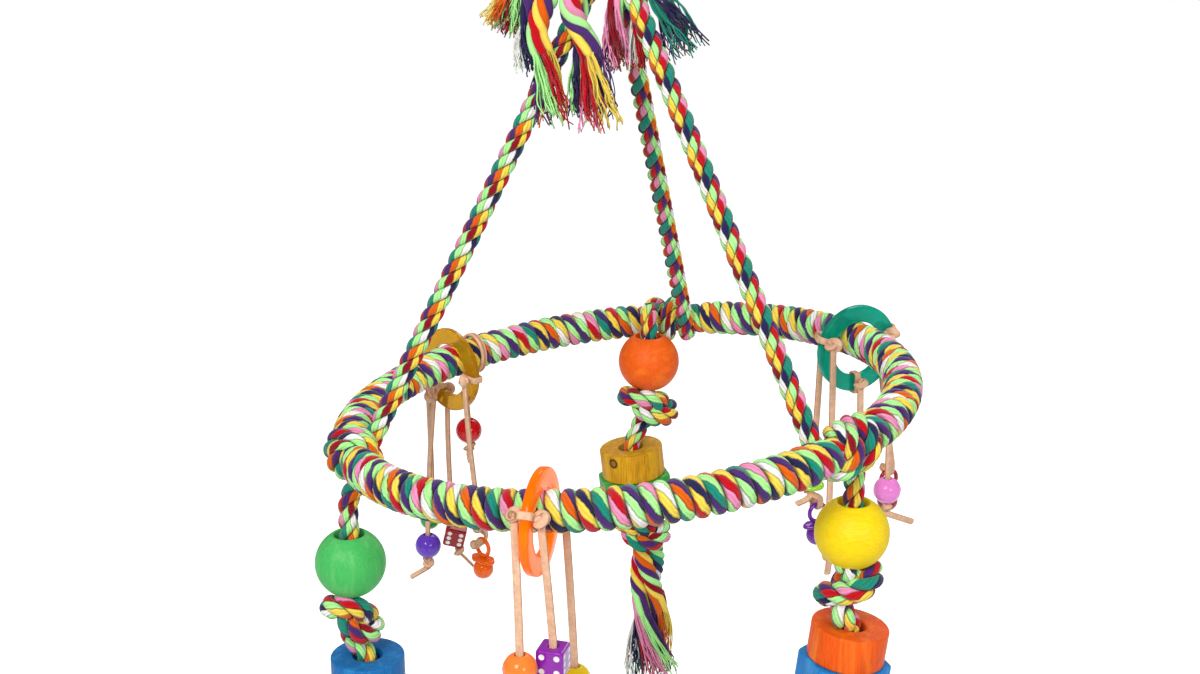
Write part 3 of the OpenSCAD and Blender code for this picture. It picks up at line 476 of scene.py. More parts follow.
# %% A knot in its place
def knot_at(middle, thick, spin=0.0, wide=1.0, tall=1.0, axis=(0, 0, -1), offset=0.35):
    """The knot's line placed at a middle, with its bottom end towards an axis, turned by spin about it, and
    moved a share of its own bulk's offset so that the bulk sits nearly round the axis."""
    down = unit(np.array(axis, float))
    side = unit(np.cross(down, [0, 1, 0]))
    other = np.cross(down, side)
    k = KNOT - [0, KNOT[:, 1].mean() * (1 - offset) * 1.6, 0]
    k = k * [wide, wide, tall] * thick
    x, y = k[:, 0] * cosd(spin) - k[:, 1] * sind(spin), k[:, 0] * sind(spin) + k[:, 1] * cosd(spin)
    return middle + side * x[:, None] + other * y[:, None] - down * k[:, 2:]


print("in 13 mm rope it is", np.round(np.ptp(knot_at(np.zeros(3), 13.0), axis=0) + 13.0), "mm each way")

# %% [markdown]
# ## Laid rope
#
# The legs and pendants are three-strand rope, and every strand is itself a twist of coloured cotton yarns.
# The strands could be three tubes, but most of their surface would be hidden inside. One tube whose outline
# has three lobes shows the same and stays closed. A strand that runs slantwise is cut into an oval by the
# plane of the outline, which is why each lobe is wider than deep. The yarns turn the other way in the
# strand than the strand does in the rope, so that on the outside they run nearly along the rope. The UV map
# holds that: u counts the lobes and v counts turns of the rope, and the material works out from them which
# yarn lies where.

# %% Rope outline and twist
LAY, STRAND_MIDDLE, STRAND_DEEP, STRAND_WIDE = 31.0, 3.45, 3.05, 3.75
LOBE_HALF, LOBE_POINTS = 126.4, 11
ROPE_STEP, STRAND_STEP, LACE_STEP = 1.5, 1.6, 0.7  # millimetres between the points of a route
ROPE_END, CORD_END, BUNDLE_END = 5.0, 6.0, 4.0  # length of a rounded end
LOBES_U = np.linspace(0, 3, 3 * LOBE_POINTS + 1)


def laid_outline(scale=1.0):
    """Three lobes, each an oval round its own middle from one valley to the next."""
    beta = np.linspace(-LOBE_HALF, LOBE_HALF, LOBE_POINTS, endpoint=False)
    x, y = STRAND_MIDDLE + STRAND_DEEP * cosd(beta), STRAND_WIDE * sind(beta)
    turns = [np.stack([x * cosd(a) - y * sind(a), x * sind(a) + y * cosd(a)], axis=-1) for a in (0, 120, 240)]
    return np.concatenate(turns) * scale


def rope(path, first=(1, 0, 0), start=0.0, size=1.0, scale=1.0):
    """Grid of a laid rope along a path, and how many turns of the lay lie before each point."""
    turns = start + run(path) / (LAY * scale)
    first = np.array(first, float)
    return carried(path, laid_outline(scale), turn=2 * np.pi * turns, size=size, first=first), turns


print("the rope's outline is", np.round(np.ptp(laid_outline(), axis=0), 1), "mm across")

# %% [markdown]
# ## What cotton gives the eye
#
# Mercerised cotton takes strong dyes and stays matt: there is hardly any gloss, and a soft sheen at grazing
# angles from its loose fibres. Colour comes from a ramp without blending, one stop per bundle of yarn, and
# runs slightly ragged because yarns wander. Shade is painted into the colour where the cotton is hollow: in
# the groove between bundles, where one yarn meets the next, and in the valleys between strands. Relief comes
# from three things: the groove between bundles and the single yarns, which are both counted from the colour's
# own number, and the fibres. Fibres of a hundredth of a millimetre would not show, so they are drawn about a
# millimetre wide.
#
# Two of the nodes below number their sockets. Mix has its factor at 0, its colours at 6 and 7 and its
# result at output 2. Map Range turns the span from 1 to 2 into the span from 3 to 4.

# %% Cotton colours, as sRGB
DYES = {"green": "B2F59C", "pink": "EE98BC", "red": "C4262E", "yellow": "F5D962", "orange": "E0682C",
        "purple": "4C2D6E", "teal": "268A76", "white": "F2F1EC", "wine": "8E1826", "navy": "27234F"}
DYE_ORDER = list(DYES)
print(len(DYES), "dyes")


def share_out(ramp, names):
    """Gives each named dye the same share of a ramp from 0 to 1, with no blending between them."""
    ramp.interpolation = "CONSTANT"
    for k, name in enumerate(names):
        stop = ramp.elements[k] if k < 2 else ramp.elements.new(k / len(names))
        stop.position, stop.color = k / len(names), linear(DYES[name])


def across_mm(size):
    """The scale at which a pattern's features are about this many millimetres across: one over the size.
    Most sizes below are not round, because they were matched as scales."""
    return 1 / (size * MM)


# %% Cotton
def cotton(name, bands, colours, lobes, across, twist, crease):
    """Cotton whose colour follows the yarns: phase = bands * (place round the strand + twist * turns of
    lay). The `crease` holds two places round a strand: where the painted shade of its valley is darkest,
    and where that painted shade ends."""
    material, t = blank(name)
    place = add(t, "TexCoord").outputs["Object"]
    split = add(t, "SeparateXYZ", {0: add(t, "UVMap", uv_map="Yarn")})
    u, v = split.outputs[0], split.outputs[1]

    # Which bundle of yarn lies here, and its colour
    wander = add(t, "TexNoise", {"Vector": place, "Scale": across_mm(6.25), "Detail": 2.0})
    ragged = add(t, "Math", {0: wander, 1: 0.13, 2: -0.065}, operation="MULTIPLY_ADD")
    local = u
    if lobes > 1:
        local = add(t, "Math", {0: u}, operation="FRACT")
        local = add(t, "Math", {0: local, 1: across}, operation="MULTIPLY")
    phase = add(t, "Math", {0: v, 1: twist, 2: local}, operation="MULTIPLY_ADD")
    phase = add(t, "Math", {0: phase, 1: ragged}, operation="ADD")
    count = add(t, "Math", {0: phase, 1: bands}, operation="MULTIPLY")
    if lobes > 1:
        strand = add(t, "Math", {0: u}, operation="FLOOR")
        band = add(t, "Math", {0: phase}, operation="FRACT")
        index = add(t, "Math", {0: strand, 1: band}, operation="ADD")
        index = add(t, "Math", {0: index, 1: lobes}, operation="DIVIDE")
    else:
        index = add(t, "Math", {0: count, 1: len(colours)}, operation="DIVIDE")
        index = add(t, "Math", {0: index}, operation="FRACT")
    dye = add(t, "ValToRGB", {0: index})
    share_out(dye.color_ramp, colours)

    # Tone: fibres and slow patches vary at random, and each yarn is painted darker where it meets the next,
    # as painted shade
    fibre = add(t, "TexNoise", {"Vector": place, "Scale": across_mm(1.1111), "Detail": 3.0})
    mottle = add(t, "TexNoise", {"Vector": place, "Scale": across_mm(18.182), "Detail": 2.0})
    brightness = add(t, "Math", {0: fibre, 1: 0.36, 2: 0.74}, operation="MULTIPLY_ADD")
    brightness = add(t, "Math", {0: mottle, 1: 0.16, 2: brightness}, operation="MULTIPLY_ADD")
    yarns = add(t, "Math", {0: count, 1: 4.0}, operation="MULTIPLY")
    yarns = add(t, "Math", {0: yarns, 1: 1.0}, operation="PINGPONG")
    # Painted shade: the colour is darkened towards the join of one yarn with the next
    yarn_shade = add(t, "Math", {0: yarns, 1: 0.30, 2: 0.80}, operation="MULTIPLY_ADD")
    brightness = add(t, "Math", {0: brightness, 1: yarn_shade}, operation="MULTIPLY")
    shade = add(t, "HueSaturation", {"Color": dye, "Value": brightness, "Saturation": 1.06})

    # Painted shade: grooves between bundles and valleys between strands are painted darker
    groove = add(t, "Math", {0: count, 1: 0.5}, operation="PINGPONG")
    groove = add(t, "MapRange", {0: groove, 1: 0.0, 2: 0.12, 3: 0.0, 4: 1.0})
    # The colour is darkened towards 5A4A50 in the groove between bundles: painted shade
    dark = add(t, "Mix", {0: groove, 6: linear("5A4A50"), 7: (1, 1, 1, 1)}, data_type="RGBA")
    deep = add(t, "Mix", {0: 0.35, 6: shade, 7: dark.outputs[2]}, data_type="RGBA", blend_type="MULTIPLY")
    # Painted shade in the valleys between strands, and where neighbouring turns of the cord touch
    valley = add(t, "Math", {0: u, 1: 0.5}, operation="PINGPONG")
    valley_shade = add(t, "MapRange", {0: valley, 1: crease[0], 2: crease[1], 3: 0.22, 4: 1.0},
                    interpolation_type="SMOOTHSTEP")
    colour = add(t, "HueSaturation", {"Color": deep.outputs[2], "Value": valley_shade})

    relief = add(t, "Math", {0: yarns, 1: 0.30}, operation="MULTIPLY")
    relief = add(t, "Math", {0: groove, 1: 0.75, 2: relief}, operation="MULTIPLY_ADD")
    relief = add(t, "Math", {0: fibre, 1: 0.5, 2: relief}, operation="MULTIPLY_ADD")
    bump = add(t, "Bump", {"Height": relief, "Strength": 0.75, "Distance": 0.7 * MM})
    shader = add(t, "BsdfPrincipled", {
        "Base Color": colour, "Roughness": 0.92, "Normal": bump, "Specular IOR Level": 0.2,
        "Sheen Weight": 0.25, "Sheen Roughness": 0.5})
    add(t, "OutputMaterial", {"Surface": shader})
    return material


# %% The rope's fifteen bundles, five to a strand
ROPE_COLOURS = ["green", "pink", "red", "yellow", "wine",
                "yellow", "orange", "purple", "red", "green",
                "teal", "navy", "white", "green", "teal"]
# The crease gives painted shade in the valleys between the three strands
laid_cotton = cotton("laid cotton rope", 5, ROPE_COLOURS, lobes=3, across=2 * LOBE_HALF / 360, twist=2.0,
                     crease=(0.0, 0.13))
print(laid_cotton.name, "with", len(ROPE_COLOURS), "bundles")

# %% [markdown]
# ## Legs and pendants: one rope each
#
# Each leg runs from the knot at the top to the hoop, takes nearly two turns round it, and hangs on below as
# the pendant's rope. On the real swing that is one unbroken rope, so its path and its twist are worked out
# once for the whole length and only then cut where the pendant swings.

# %% Route of one rope
LEG_TOP_DROP, LEG_TOP_OUT, CUT_LIFT, ROPE_THICK_IN_KNOT = 11.0, 8.19, ROPE_R + 0.3, 11.4
ABOVE_BALL, ABOVE_DRUM, IN_BLOCK = 8, 1, 44


def leg_route(p):
    """From the apex straight to the hoop, nearly two turns round it, and round into the plumb line above
    the ball. The last bend is a (1 - s)^3 + 3 b (1 - s)^2 s + 3 c (1 - s) s^2 + d s^3 from the coil to that
    line."""
    top = np.array([0, 0, APEX_Z - LEG_TOP_DROP]) + level_out(p["foot"]) * LEG_TOP_OUT
    psi = np.arange(HITCH_START, p["hitch_end"] + 1, 10.0)
    coil = on_hoop(p["foot"] + HITCH_PITCH * (psi - HITCH_START) / 360, HITCH_R, psi)
    lead = unit(coil[0] - top)
    last, end = unit(coil[-1] - coil[-2]), p["pivot"] + [0, 0, CUT_LIFT]
    reach = np.linalg.norm(end - coil[-1]) / 2
    s = np.linspace(0, 1, 12)[1:, None]
    b, c = coil[-1] + last * reach, end + [0, 0, reach]
    turn = coil[-1] * (1 - s) ** 3 + 3 * b * (1 - s) ** 2 * s + 3 * c * (1 - s) * s**2 + end * s**3
    line = np.linspace(top, coil[0] - lead * ROPE_R, 60)
    return soften(even(np.concatenate([line, coil, turn]), ROPE_STEP), 14)


def pendant_route(p):
    """Straight down through the ball, an overhand knot, the bores of drum and block, and the lower knot."""
    wide, tall = p["knot"]
    upper = knot_at(p["high_knot"], ROPE_THICK_IN_KNOT, p["spin"][0], wide, tall)
    lower = knot_at(p["low_knot"], ROPE_THICK_IN_KNOT, p["spin"][1], wide, tall, axis=p["axis"])
    parts = [[p["pivot"] + [0, 0, CUT_LIFT]], [p["ball"] + [0, 0, ABOVE_BALL]], upper,
             [p["drum_top"] - p["axis"] * ABOVE_DRUM], [p["drum_top"] + p["axis"] * IN_BLOCK], lower]
    return soften(even(np.concatenate(parts), ROPE_STEP), 10)


print("the left leg's route is", round(run(leg_route(PENDANTS["left"]))[-1]), "mm long")

# %% Three ropes, each cut where its pendant swings
KNOT_SWELL, KNOT_REACH, KNOT_FADE, CUT_SMOOTH, BALL_REACH = 0.17, 27.0, 9.0, 12, 21
rope_ends = {}
for name, p in PENDANTS.items():
    leg, hang = leg_route(p), pendant_route(p)
    path = np.concatenate([leg, hang[1:]])
    before, after = len(leg) - CUT_SMOOTH, len(leg) + CUT_SMOOTH
    path = np.concatenate([path[:before], soften(path[before:after], 8), path[after:]])
    knots = np.stack([p["high_knot"], p["low_knot"]])
    away = np.linalg.norm(path[:, None, :] - knots, axis=-1).min(axis=1)
    swell = 1 + KNOT_SWELL * np.clip((KNOT_REACH - away) / KNOT_FADE, 0, 1)
    grid, turns = rope(path, first=level_out(p["foot"]), size=round_ends(path, ROPE_END) * swell)
    cut = len(leg) - 1
    above, below = slice(0, cut + 1), slice(cut, None)
    upper = piece("leg_rope_" + name, skin(grid[above], LOBES_U, turns[above]), laid_cotton, "leg_" + name)
    lower = piece("pendant_rope_" + name, skin(grid[below], LOBES_U, turns[below]), laid_cotton,
                  "rope_" + name, rides=False)
    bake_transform(lower)
    rope_ends[name] = path[-1]

# %% [markdown]
# ## The hoop's winding
#
# Between the legs the hoop is wound with a single thick cord, 44 turns from one leg to the next. It is one
# strand and not a rope: a bundle of yarns with one hard twist, so its colours cross each turn as slanting
# bands. The outline is nearly round with a shallow groove at each band, and only under the legs is it
# pressed thin. The cord's inner side is never seen, and there the order of colours may jump, which lets
# thirteen colours take turns on a cord of five bands.

# %% The cord's colours and sizes
CORD_LAY, CORD_BANDS, CORD_POINTS, CORD_TURNS, RINGS_PER_TURN = 36.0, 5, 30, 44, 30
CORD_MIDDLE, CORD_HALF_DEEP, CORD_HALF_WIDE, CORD_SQUARE = 8.35, 4.05, 4.5, 0.96
GROOVE_DEEP, GROOVE_WIDE = 0.09, 0.11
HITCH_CLEAR, UNDER_HITCH, PRESSED, PRESSED_MIDDLE = 4.72, 9.4, 0.62, 7.0
WOBBLES, WOBBLE_SHARE = ((0.25, 1.37), (0.2, 0.61)), 0.12  # size and rate a turn, and share of the pitch
PRESS_FADE, PRESS_START = 1.4, 0.55
RING_AZ = {"amber": 135.083, "orange": 254.211, "teal": 24.5712}
CORD_COLOURS = ["yellow", "red", "pink", "green", "purple", "orange", "green",
                "teal", "purple", "green", "white", "yellow", "navy"]
# The crease gives painted shade along the cord's sides, where its turns touch, and round its hidden back
wound_cotton = cotton("wound cotton cord", CORD_BANDS, CORD_COLOURS, lobes=1, across=1.0, twist=1.0,
                      crease=(0.27, 0.39))
print(wound_cotton.name, "with", len(CORD_COLOURS), "colours")


# %% Wind three arcs
def banded(turns):
    """A nearly round outline with a groove where one band of yarn meets the next: half size * cos and sin,
    less a bell-shaped dip at each join. The joins wander round it with the twist. Round starts at the back,
    where the seam of the colours is hidden."""
    u = np.linspace(0, 1, CORD_POINTS, endpoint=False)
    phase = CORD_BANDS * (u + np.asarray(turns)[..., None])
    off = np.abs(phase - np.round(phase))
    dip = 1 - GROOVE_DEEP * np.exp(-(off / GROOVE_WIDE) ** 2)
    a = 2 * np.pi * u + np.pi
    c, s = np.cos(a), np.sin(a)
    x = CORD_HALF_DEEP * np.sign(c) * np.abs(c) ** CORD_SQUARE
    y = CORD_HALF_WIDE * np.sign(s) * np.abs(s) ** CORD_SQUARE
    return np.stack([x * dip, y * dip], axis=-1)


def winding(start_az, end_az, ring_az):
    """The cord's middle runs as a helix round the core: out by radius * cos psi and up by radius * sin psi,
    while psi falls one turn for each pitch along the hoop. Its phase puts the top of a turn under the
    acrylic ring. At both ends the cord goes on under the leg's rope and is pressed thinner there."""
    turn = np.arange(CORD_TURNS * RINGS_PER_TURN + 1) / RINGS_PER_TURN
    pitch = (end_az - start_az) / CORD_TURNS
    psi = 90 + 360 * ((ring_az - start_az) / pitch - turn)
    az = start_az + pitch * turn
    wobble = sum(size * np.sin(2 * np.pi * turn * rate) for size, rate in WOBBLES) * WOBBLE_SHARE
    inside = np.minimum(az - start_az, end_az - az) / UNDER_HITCH
    press = 1 - np.clip(inside * PRESS_FADE - PRESS_START, 0, 1)
    middle = CORD_MIDDLE + (PRESSED_MIDDLE - CORD_MIDDLE) * press
    path = on_hoop(az + wobble * pitch, middle, psi)
    d = unit(np.gradient(path, axis=0))
    out = on_hoop(az, middle + 1, psi) - on_hoop(az, middle, psi)
    n_side = unit(out - (out * d).sum(-1, keepdims=True) * d)
    lays = run(path) / CORD_LAY
    outline = banded(lays)
    outline[..., 0] *= (1 + (PRESSED - 1) * press)[:, None]
    grid = carried(path, outline, size=round_ends(path, CORD_END), pair=(n_side, np.cross(d, n_side)))
    return grid, lays, path


# Each arc runs from one leg to the next under one acrylic ring; angles past a full turn have a lap added.
WOUND = {"front": ("left", "right", "orange", 0), "right": ("right", "back", "teal", 360),
         "back": ("back", "left", "amber", 0)}
for name, (a, b, ring, lap) in WOUND.items():
    start = PENDANTS[a]["drop_az"] + HITCH_CLEAR - UNDER_HITCH
    end = PENDANTS[b]["foot"] + lap - HITCH_CLEAR + UNDER_HITCH
    grid, lays, path = winding(start, end, RING_AZ[ring] + lap)
    piece("winding_" + name, skin(grid, v=lays), wound_cotton, "wrap_" + name)
    print(name, "arc from", round(start), "to", round(end), "degrees,", round(run(path)[-1]), "mm of cord")

# %% [markdown]
# ## Bundles and loose yarn
#
# Where the rope is cut, each strand comes apart. A strand is drawn as it is built: bundles of one colour
# laid side by side with the strand's own twist, and past the place where the twist gives out, every bundle
# ends in single yarns that spread and wander. Each tube carries its dye as a number, so one material serves
# them all. The yarns are worked out together: an array of paths, one row per yarn, goes through the same
# `carried` step.

# %% Yarn material: the colour is the tube's own number
yarn_cotton, t = blank("loose cotton yarn")
place = add(t, "TexCoord").outputs["Object"]
split = add(t, "SeparateXYZ", {0: add(t, "UVMap", uv_map="Yarn")})
number = add(t, "Attribute", attribute_name="dye").outputs["Fac"]
share = add(t, "Math", {0: number, 1: 0.5}, operation="ADD")
share = add(t, "Math", {0: share, 1: len(DYE_ORDER)}, operation="DIVIDE")
dye = add(t, "ValToRGB", {0: share})
share_out(dye.color_ramp, DYE_ORDER)
fibre = add(t, "TexNoise", {"Vector": place, "Scale": across_mm(1.1111), "Detail": 2.0})
mottle = add(t, "TexNoise", {"Vector": place, "Scale": across_mm(14.286), "Detail": 2.0})
brightness = add(t, "Math", {0: fibre, 1: 0.25, 2: 0.74}, operation="MULTIPLY_ADD")
brightness = add(t, "Math", {0: mottle, 1: 0.30, 2: brightness}, operation="MULTIPLY_ADD")
shade = add(t, "HueSaturation", {"Color": dye, "Value": brightness, "Saturation": 1.04})
plies = add(t, "Math", {0: split.outputs[0], 1: 8.0}, operation="MULTIPLY")
plies = add(t, "Math", {0: split.outputs[1], 1: 0.12, 2: plies}, operation="MULTIPLY_ADD")
plies = add(t, "Math", {0: plies, 1: 1.0}, operation="PINGPONG")
relief = add(t, "Math", {0: fibre, 1: 0.5}, operation="MULTIPLY")
relief = add(t, "Math", {0: plies, 1: 0.6, 2: relief}, operation="MULTIPLY_ADD")
bump = add(t, "Bump", {"Height": relief, "Strength": 0.6, "Distance": 0.6 * MM})
shader = add(t, "BsdfPrincipled", {
    "Base Color": shade, "Roughness": 0.93, "Normal": bump, "Specular IOR Level": 0.15,
    "Sheen Weight": 0.2, "Sheen Roughness": 0.5})
add(t, "OutputMaterial", {"Surface": shader})
print(yarn_cotton.name, "in", len(DYE_ORDER), "dyes")

# %% A strand that frays
STRAND_LAY, YARNS_IN_BUNDLE, YARN_R, YARN_POINTS, BUNDLE_FULL = 36.0, 18, 0.5, 22, 1.12
TWIST_RUNS_ON, BUNDLE_RUNS_ON, YARN_STARTS_BEFORE, SHORTEST_YARN = 12, 0.12, 0.03, 0.74


def frayed(path, dyes, thick, bare, spread):
    """A strand of coloured bundles along a path, `thick` across, that comes apart after the share `bare` of
    its length. Bundles turn round the middle as cos and sin of the twist. Each yarn leaves its bundle by an
    aim of its own that grows with the share ^ 1.6, up to `spread`, plus two slow waves, and is cut at its
    own length."""
    s = run(path)
    end = s[-1]
    k = len(dyes)
    ring_r = thick / 2 / (1 + np.sin(np.pi / k))
    bundle_r = ring_r * np.sin(np.pi / k) * BUNDLE_FULL
    loosen = np.clip((s / end - bare) / (1 - bare), 0, 1)
    turns = -np.minimum(s, bare * end + TWIST_RUNS_ON * loosen) / STRAND_LAY
    angle = 2 * np.pi * (turns[None, :] + np.arange(k)[:, None] / k)
    d, n, b = sides(path)
    reach = ring_r * (1 + 0.8 * loosen)
    middle = path + n * (np.cos(angle) * reach)[..., None] + b * (np.sin(angle) * reach)[..., None]

    # The bundles, whole for a little longer than the strand is
    stop = int(np.searchsorted(s, end * (bare + BUNDLE_RUNS_ON))) + 1
    core = middle[:, :max(4, stop)]
    outline = oval(bundle_r, bundle_r, 10)
    bundles = skin(carried(core, outline, size=round_ends(core, BUNDLE_END)), dye=dyes)

    # The yarns: an aim, two waves and a cut for each
    begin = max(0, int(np.searchsorted(s, end * (bare - YARN_STARTS_BEFORE))))
    tail = middle[:, begin:]
    share = (s[begin:] - s[begin]) / (end - s[begin])
    count = k * YARNS_IN_BUNDLE
    which = np.repeat(np.arange(k), YARNS_IN_BUNDLE)
    aim = rng.normal(size=(count, 3))
    aim -= (aim * d[-1]).sum(-1, keepdims=True) * d[-1]
    aim = unit(aim) * np.sqrt(rng.uniform(0.05, 1, (count, 1)))
    open_up = (0.5 * bundle_r + (spread - 0.5 * bundle_r) * share**1.6)[None, :, None]
    wave = rng.normal(size=(2, count, 3)) * 0.5
    phase = rng.uniform(0, 2 * np.pi, (2, count, 1))
    along = share[None, :, None]
    swing = sum(wave[i][:, None, :] * np.sin((3 + 4 * i) * along * np.pi + phase[i][:, :, None])
                for i in (0, 1))
    loose = tail[which] + aim[:, None, :] * open_up + swing * along**1.2 * (1.2 + 0.12 * spread)

    # Each yarn is cut, and its points are spread evenly over what is left
    cut = rng.uniform(SHORTEST_YARN, 1.0, count)
    at = cut[:, None] * np.linspace(0, 1, YARN_POINTS)
    lower = np.clip((at * (len(share) - 1)).astype(int), 0, len(share) - 2)
    frac = (at * (len(share) - 1) - lower)[..., None]
    rows = np.arange(count)[:, None]
    loose = loose[rows, lower] * (1 - frac) + loose[rows, lower + 1] * frac
    size = np.linspace(1.15, 0.85, YARN_POINTS) * rng.uniform(0.8, 1.2, (count, 1))
    return [bundles, skin(carried(loose, oval(YARN_R, YARN_R, 5), size=size), dye=np.array(dyes)[which])]


def dye_numbers(names):
    """The numbers of the named dyes, which a fraying strand's bundles carry."""
    return [DYE_ORDER.index(name) for name in names.split()]


print("each bundle ends in", YARNS_IN_BUNDLE, "yarns", 2 * YARN_R, "mm thick")

# %% [markdown]
# ## Tassels under the lower knots
#
# The three strands of each pendant come out of the lower knot, still wind loosely round each other for a
# hand's breadth, and then end in yarn. They open out a little as they go down, because nothing holds them.

# %% Tassels
TASSEL_LONG, STRAND_THICK, STRAND_BARE, STRAND_SPREAD = 121.0, 12.5, 0.42, 10.5
STRAND_DYES = [dye_numbers("green wine yellow orange purple"), dye_numbers("white teal green teal navy"),
               dye_numbers("pink red yellow purple green")]
TASSEL_START = {"left": 0.3, "right": 1.6, "back": 3.4}  # where the first strand lies, in radians
for name, p in PENDANTS.items():
    lean = p["lean"] / 2
    down = np.array([-sind(lean), 0, -cosd(lean)])
    side, other = np.array([cosd(lean), 0, -sind(lean)]), np.array([0, 1.0, 0])
    top = rope_ends[name] - down * 4
    s = np.linspace(0, 1, 70)[:, None]
    parts = []
    for k, dyes in enumerate(STRAND_DYES):
        a = TASSEL_START[name] + 2 * np.pi * (k / 3 + 0.95 * s - 0.25 * s**2)
        out = 3.2 + 4.2 * np.clip(s / 0.16, 0, 1) ** 0.8 + 3.0 * s**2
        path = top + down * (TASSEL_LONG + 2) * s + side * out * np.cos(a) + other * out * np.sin(a)
        parts += frayed(even(path, STRAND_STEP), dyes, STRAND_THICK, STRAND_BARE, STRAND_SPREAD)
    piece("tassel_yarn_" + name, parts, yarn_cotton, "tassel_" + name)
print("a tassel has", triangles["tassel_yarn_left"], "triangles")

# %% [markdown]
# ## The knot at the top
#
# The three legs are gathered under the welded ring and whipped together with several turns of the same
# rope. Its turns are a helix that starts and ends narrow, so that the bundle closes over itself like a ball
# of twine. Out of its top come the three loops that go through the welded ring; out of its side hang the
# cut ends.

# %% Whipping
WHIP_R, WHIP_CORE_R, WHIP_HALF_TALL, WHIP_TURNS = 18.5, 7.0, 15.5, 5.2
turn = np.linspace(0, 1, 420)
narrow = np.clip(np.minimum(turn, 1 - turn) / 0.17, 0, 1)
a = 2 * np.pi * WHIP_TURNS * turn
r = WHIP_CORE_R + (WHIP_R - WHIP_CORE_R) * np.sin(narrow * np.pi / 2)
z = APEX_Z + (WHIP_HALF_TALL - 2 * WHIP_HALF_TALL * np.clip((turn - 0.12) / 0.76, 0, 1))
whip = soften(even(np.stack([r * np.cos(a), r * np.sin(a), z], axis=1), STRAND_STEP), 10)
grid, turns = rope(whip, size=round_ends(whip, ROPE_END))
apex_parts = [skin(grid, LOBES_U, turns)]
print("whipping", round(run(whip)[-1]), "mm of rope")

# %% Loops through the welded ring
LOOP_SWINGS, LOOP_R, LOOP_THICK = (-45.1, 0.0, 45.1), 9.9, 0.93
RING_Z, RING_TO_LOOP, LOOP_ROOT_OUT, LOOP_ROOT_UP = -73.7, -27, 12.5, 4
for k, swing in enumerate(LOOP_SWINGS):
    a = np.linspace(0, 180, 25)
    z = RING_TO_LOOP + LOOP_R * sind(a)
    over = np.stack([LOOP_R * cosd(a), -z * sind(swing), RING_Z + z * cosd(swing)], axis=1)
    root = np.array([0, -LOOP_ROOT_OUT * sind(swing), APEX_Z + LOOP_ROOT_UP])
    foot = np.array([LOOP_R * 0.9, 0, 0])
    loop = soften(even(np.concatenate([[root + foot], over, [root - foot]]), ROPE_STEP), 6)
    grid, turns = rope(loop, start=0.21 * k, size=round_ends(loop, ROPE_END), scale=LOOP_THICK)
    apex_parts.append(skin(grid, LOBES_U, turns))
piece("apex_rope", apex_parts, laid_cotton, "apex_knot")
print("loop", round(run(loop)[-1]), "mm of rope")

# %% [markdown]
# The cut ends are strands of uneven length. Their routes are chosen from how such ends fall: each
# leaves the knot's underside, turns down and frays. Points are millimetres from the hang point.

# %% Cut ends: route, dyes, thickness, share that is still whole, spread
TAILS = {
    "left": [
        ([(-8, -6, -128), (-34, -12, -130), (-47, -10, -148), (-50, -8, -170), (-51, -8, -199)],
         "purple purple navy white green", 11.5, 0.60, 5.0),
        ([(-6, -10, -130), (-26, -16, -132), (-38, -16, -152), (-45, -15, -173), (-40, -14, -196),
          (-38, -13, -232)], "orange yellow red green purple", 13.0, 0.52, 8.5),
        ([(-10, 2, -126), (-38, -4, -128), (-52, -4, -138), (-62, -4, -152), (-76, -4, -172)],
         "yellow yellow green orange", 7.5, 0.42, 5.0),
        ([(-8, 0, -128), (-36, -2, -131), (-50, -2, -140), (-58, -2, -156), (-64, -2, -178)],
         "pink navy red green wine", 9.0, 0.42, 6.0),
    ],
    "middle": [
        ([(0, -10, -130), (-12, -20, -134), (-25, -19, -156), (-20, -17, -172), (-12, -16, -190),
          (-8, -15, -234)], "green purple yellow red pink", 13.5, 0.50, 9.5),
        ([(2, -8, -130), (-10, -14, -136), (-18, -12, -158), (-20, -12, -184), (-22, -12, -226)],
         "green navy green purple", 8.0, 0.50, 5.0),
    ],
    "right": [
        ([(8, -6, -128), (18, -14, -131), (26, -14, -150), (36, -13, -166), (46, -13, -188)],
         "teal purple red teal navy", 12.0, 0.34, 10.0),
        ([(6, -4, -128), (14, -10, -134), (16, -10, -156), (17, -10, -197)],
         "red white yellow red wine", 10.0, 0.36, 6.0),
        ([(4, -6, -128), (6, -12, -136), (1, -12, -160), (2, -12, -198)],
         "pink purple green pink wine", 9.5, 0.36, 6.5),
    ],
}
for name, tails in TAILS.items():
    parts = []
    for points, dyes, thick, bare, spread in tails:
        parts += frayed(through(points, STRAND_STEP), dye_numbers(dyes), thick, bare, spread)
    piece("cut_ends_" + name, parts, yarn_cotton, "tail_" + name)
    print(name, "cut ends", len(tails), "strands")

# %% [markdown]
# ## Turned and sawn wood
#
# The wooden pieces are dipped in thin dye, so the grain stays visible through the colour: narrow streaks
# along the grain and a few wide soft ones, which show as specks on the end grain. A ball and a drum are
# turned, so each is a closed outline run round its axis. The block is sawn: its outline is the same, but
# its outside is pushed out to a hexagon whose corners are rounded by a power mean of the distances to its
# sides.

# %% Turned shapes
BALL_D, DRUM_D, DRUM_H, BLOCK_AF, BLOCK_H = 44.5, 47.0, 22.0, 50.0, 28.0
WOOD_BORE, WOOD_EDGE, SEAT_GAP = 19.0, 1.2, 0.3


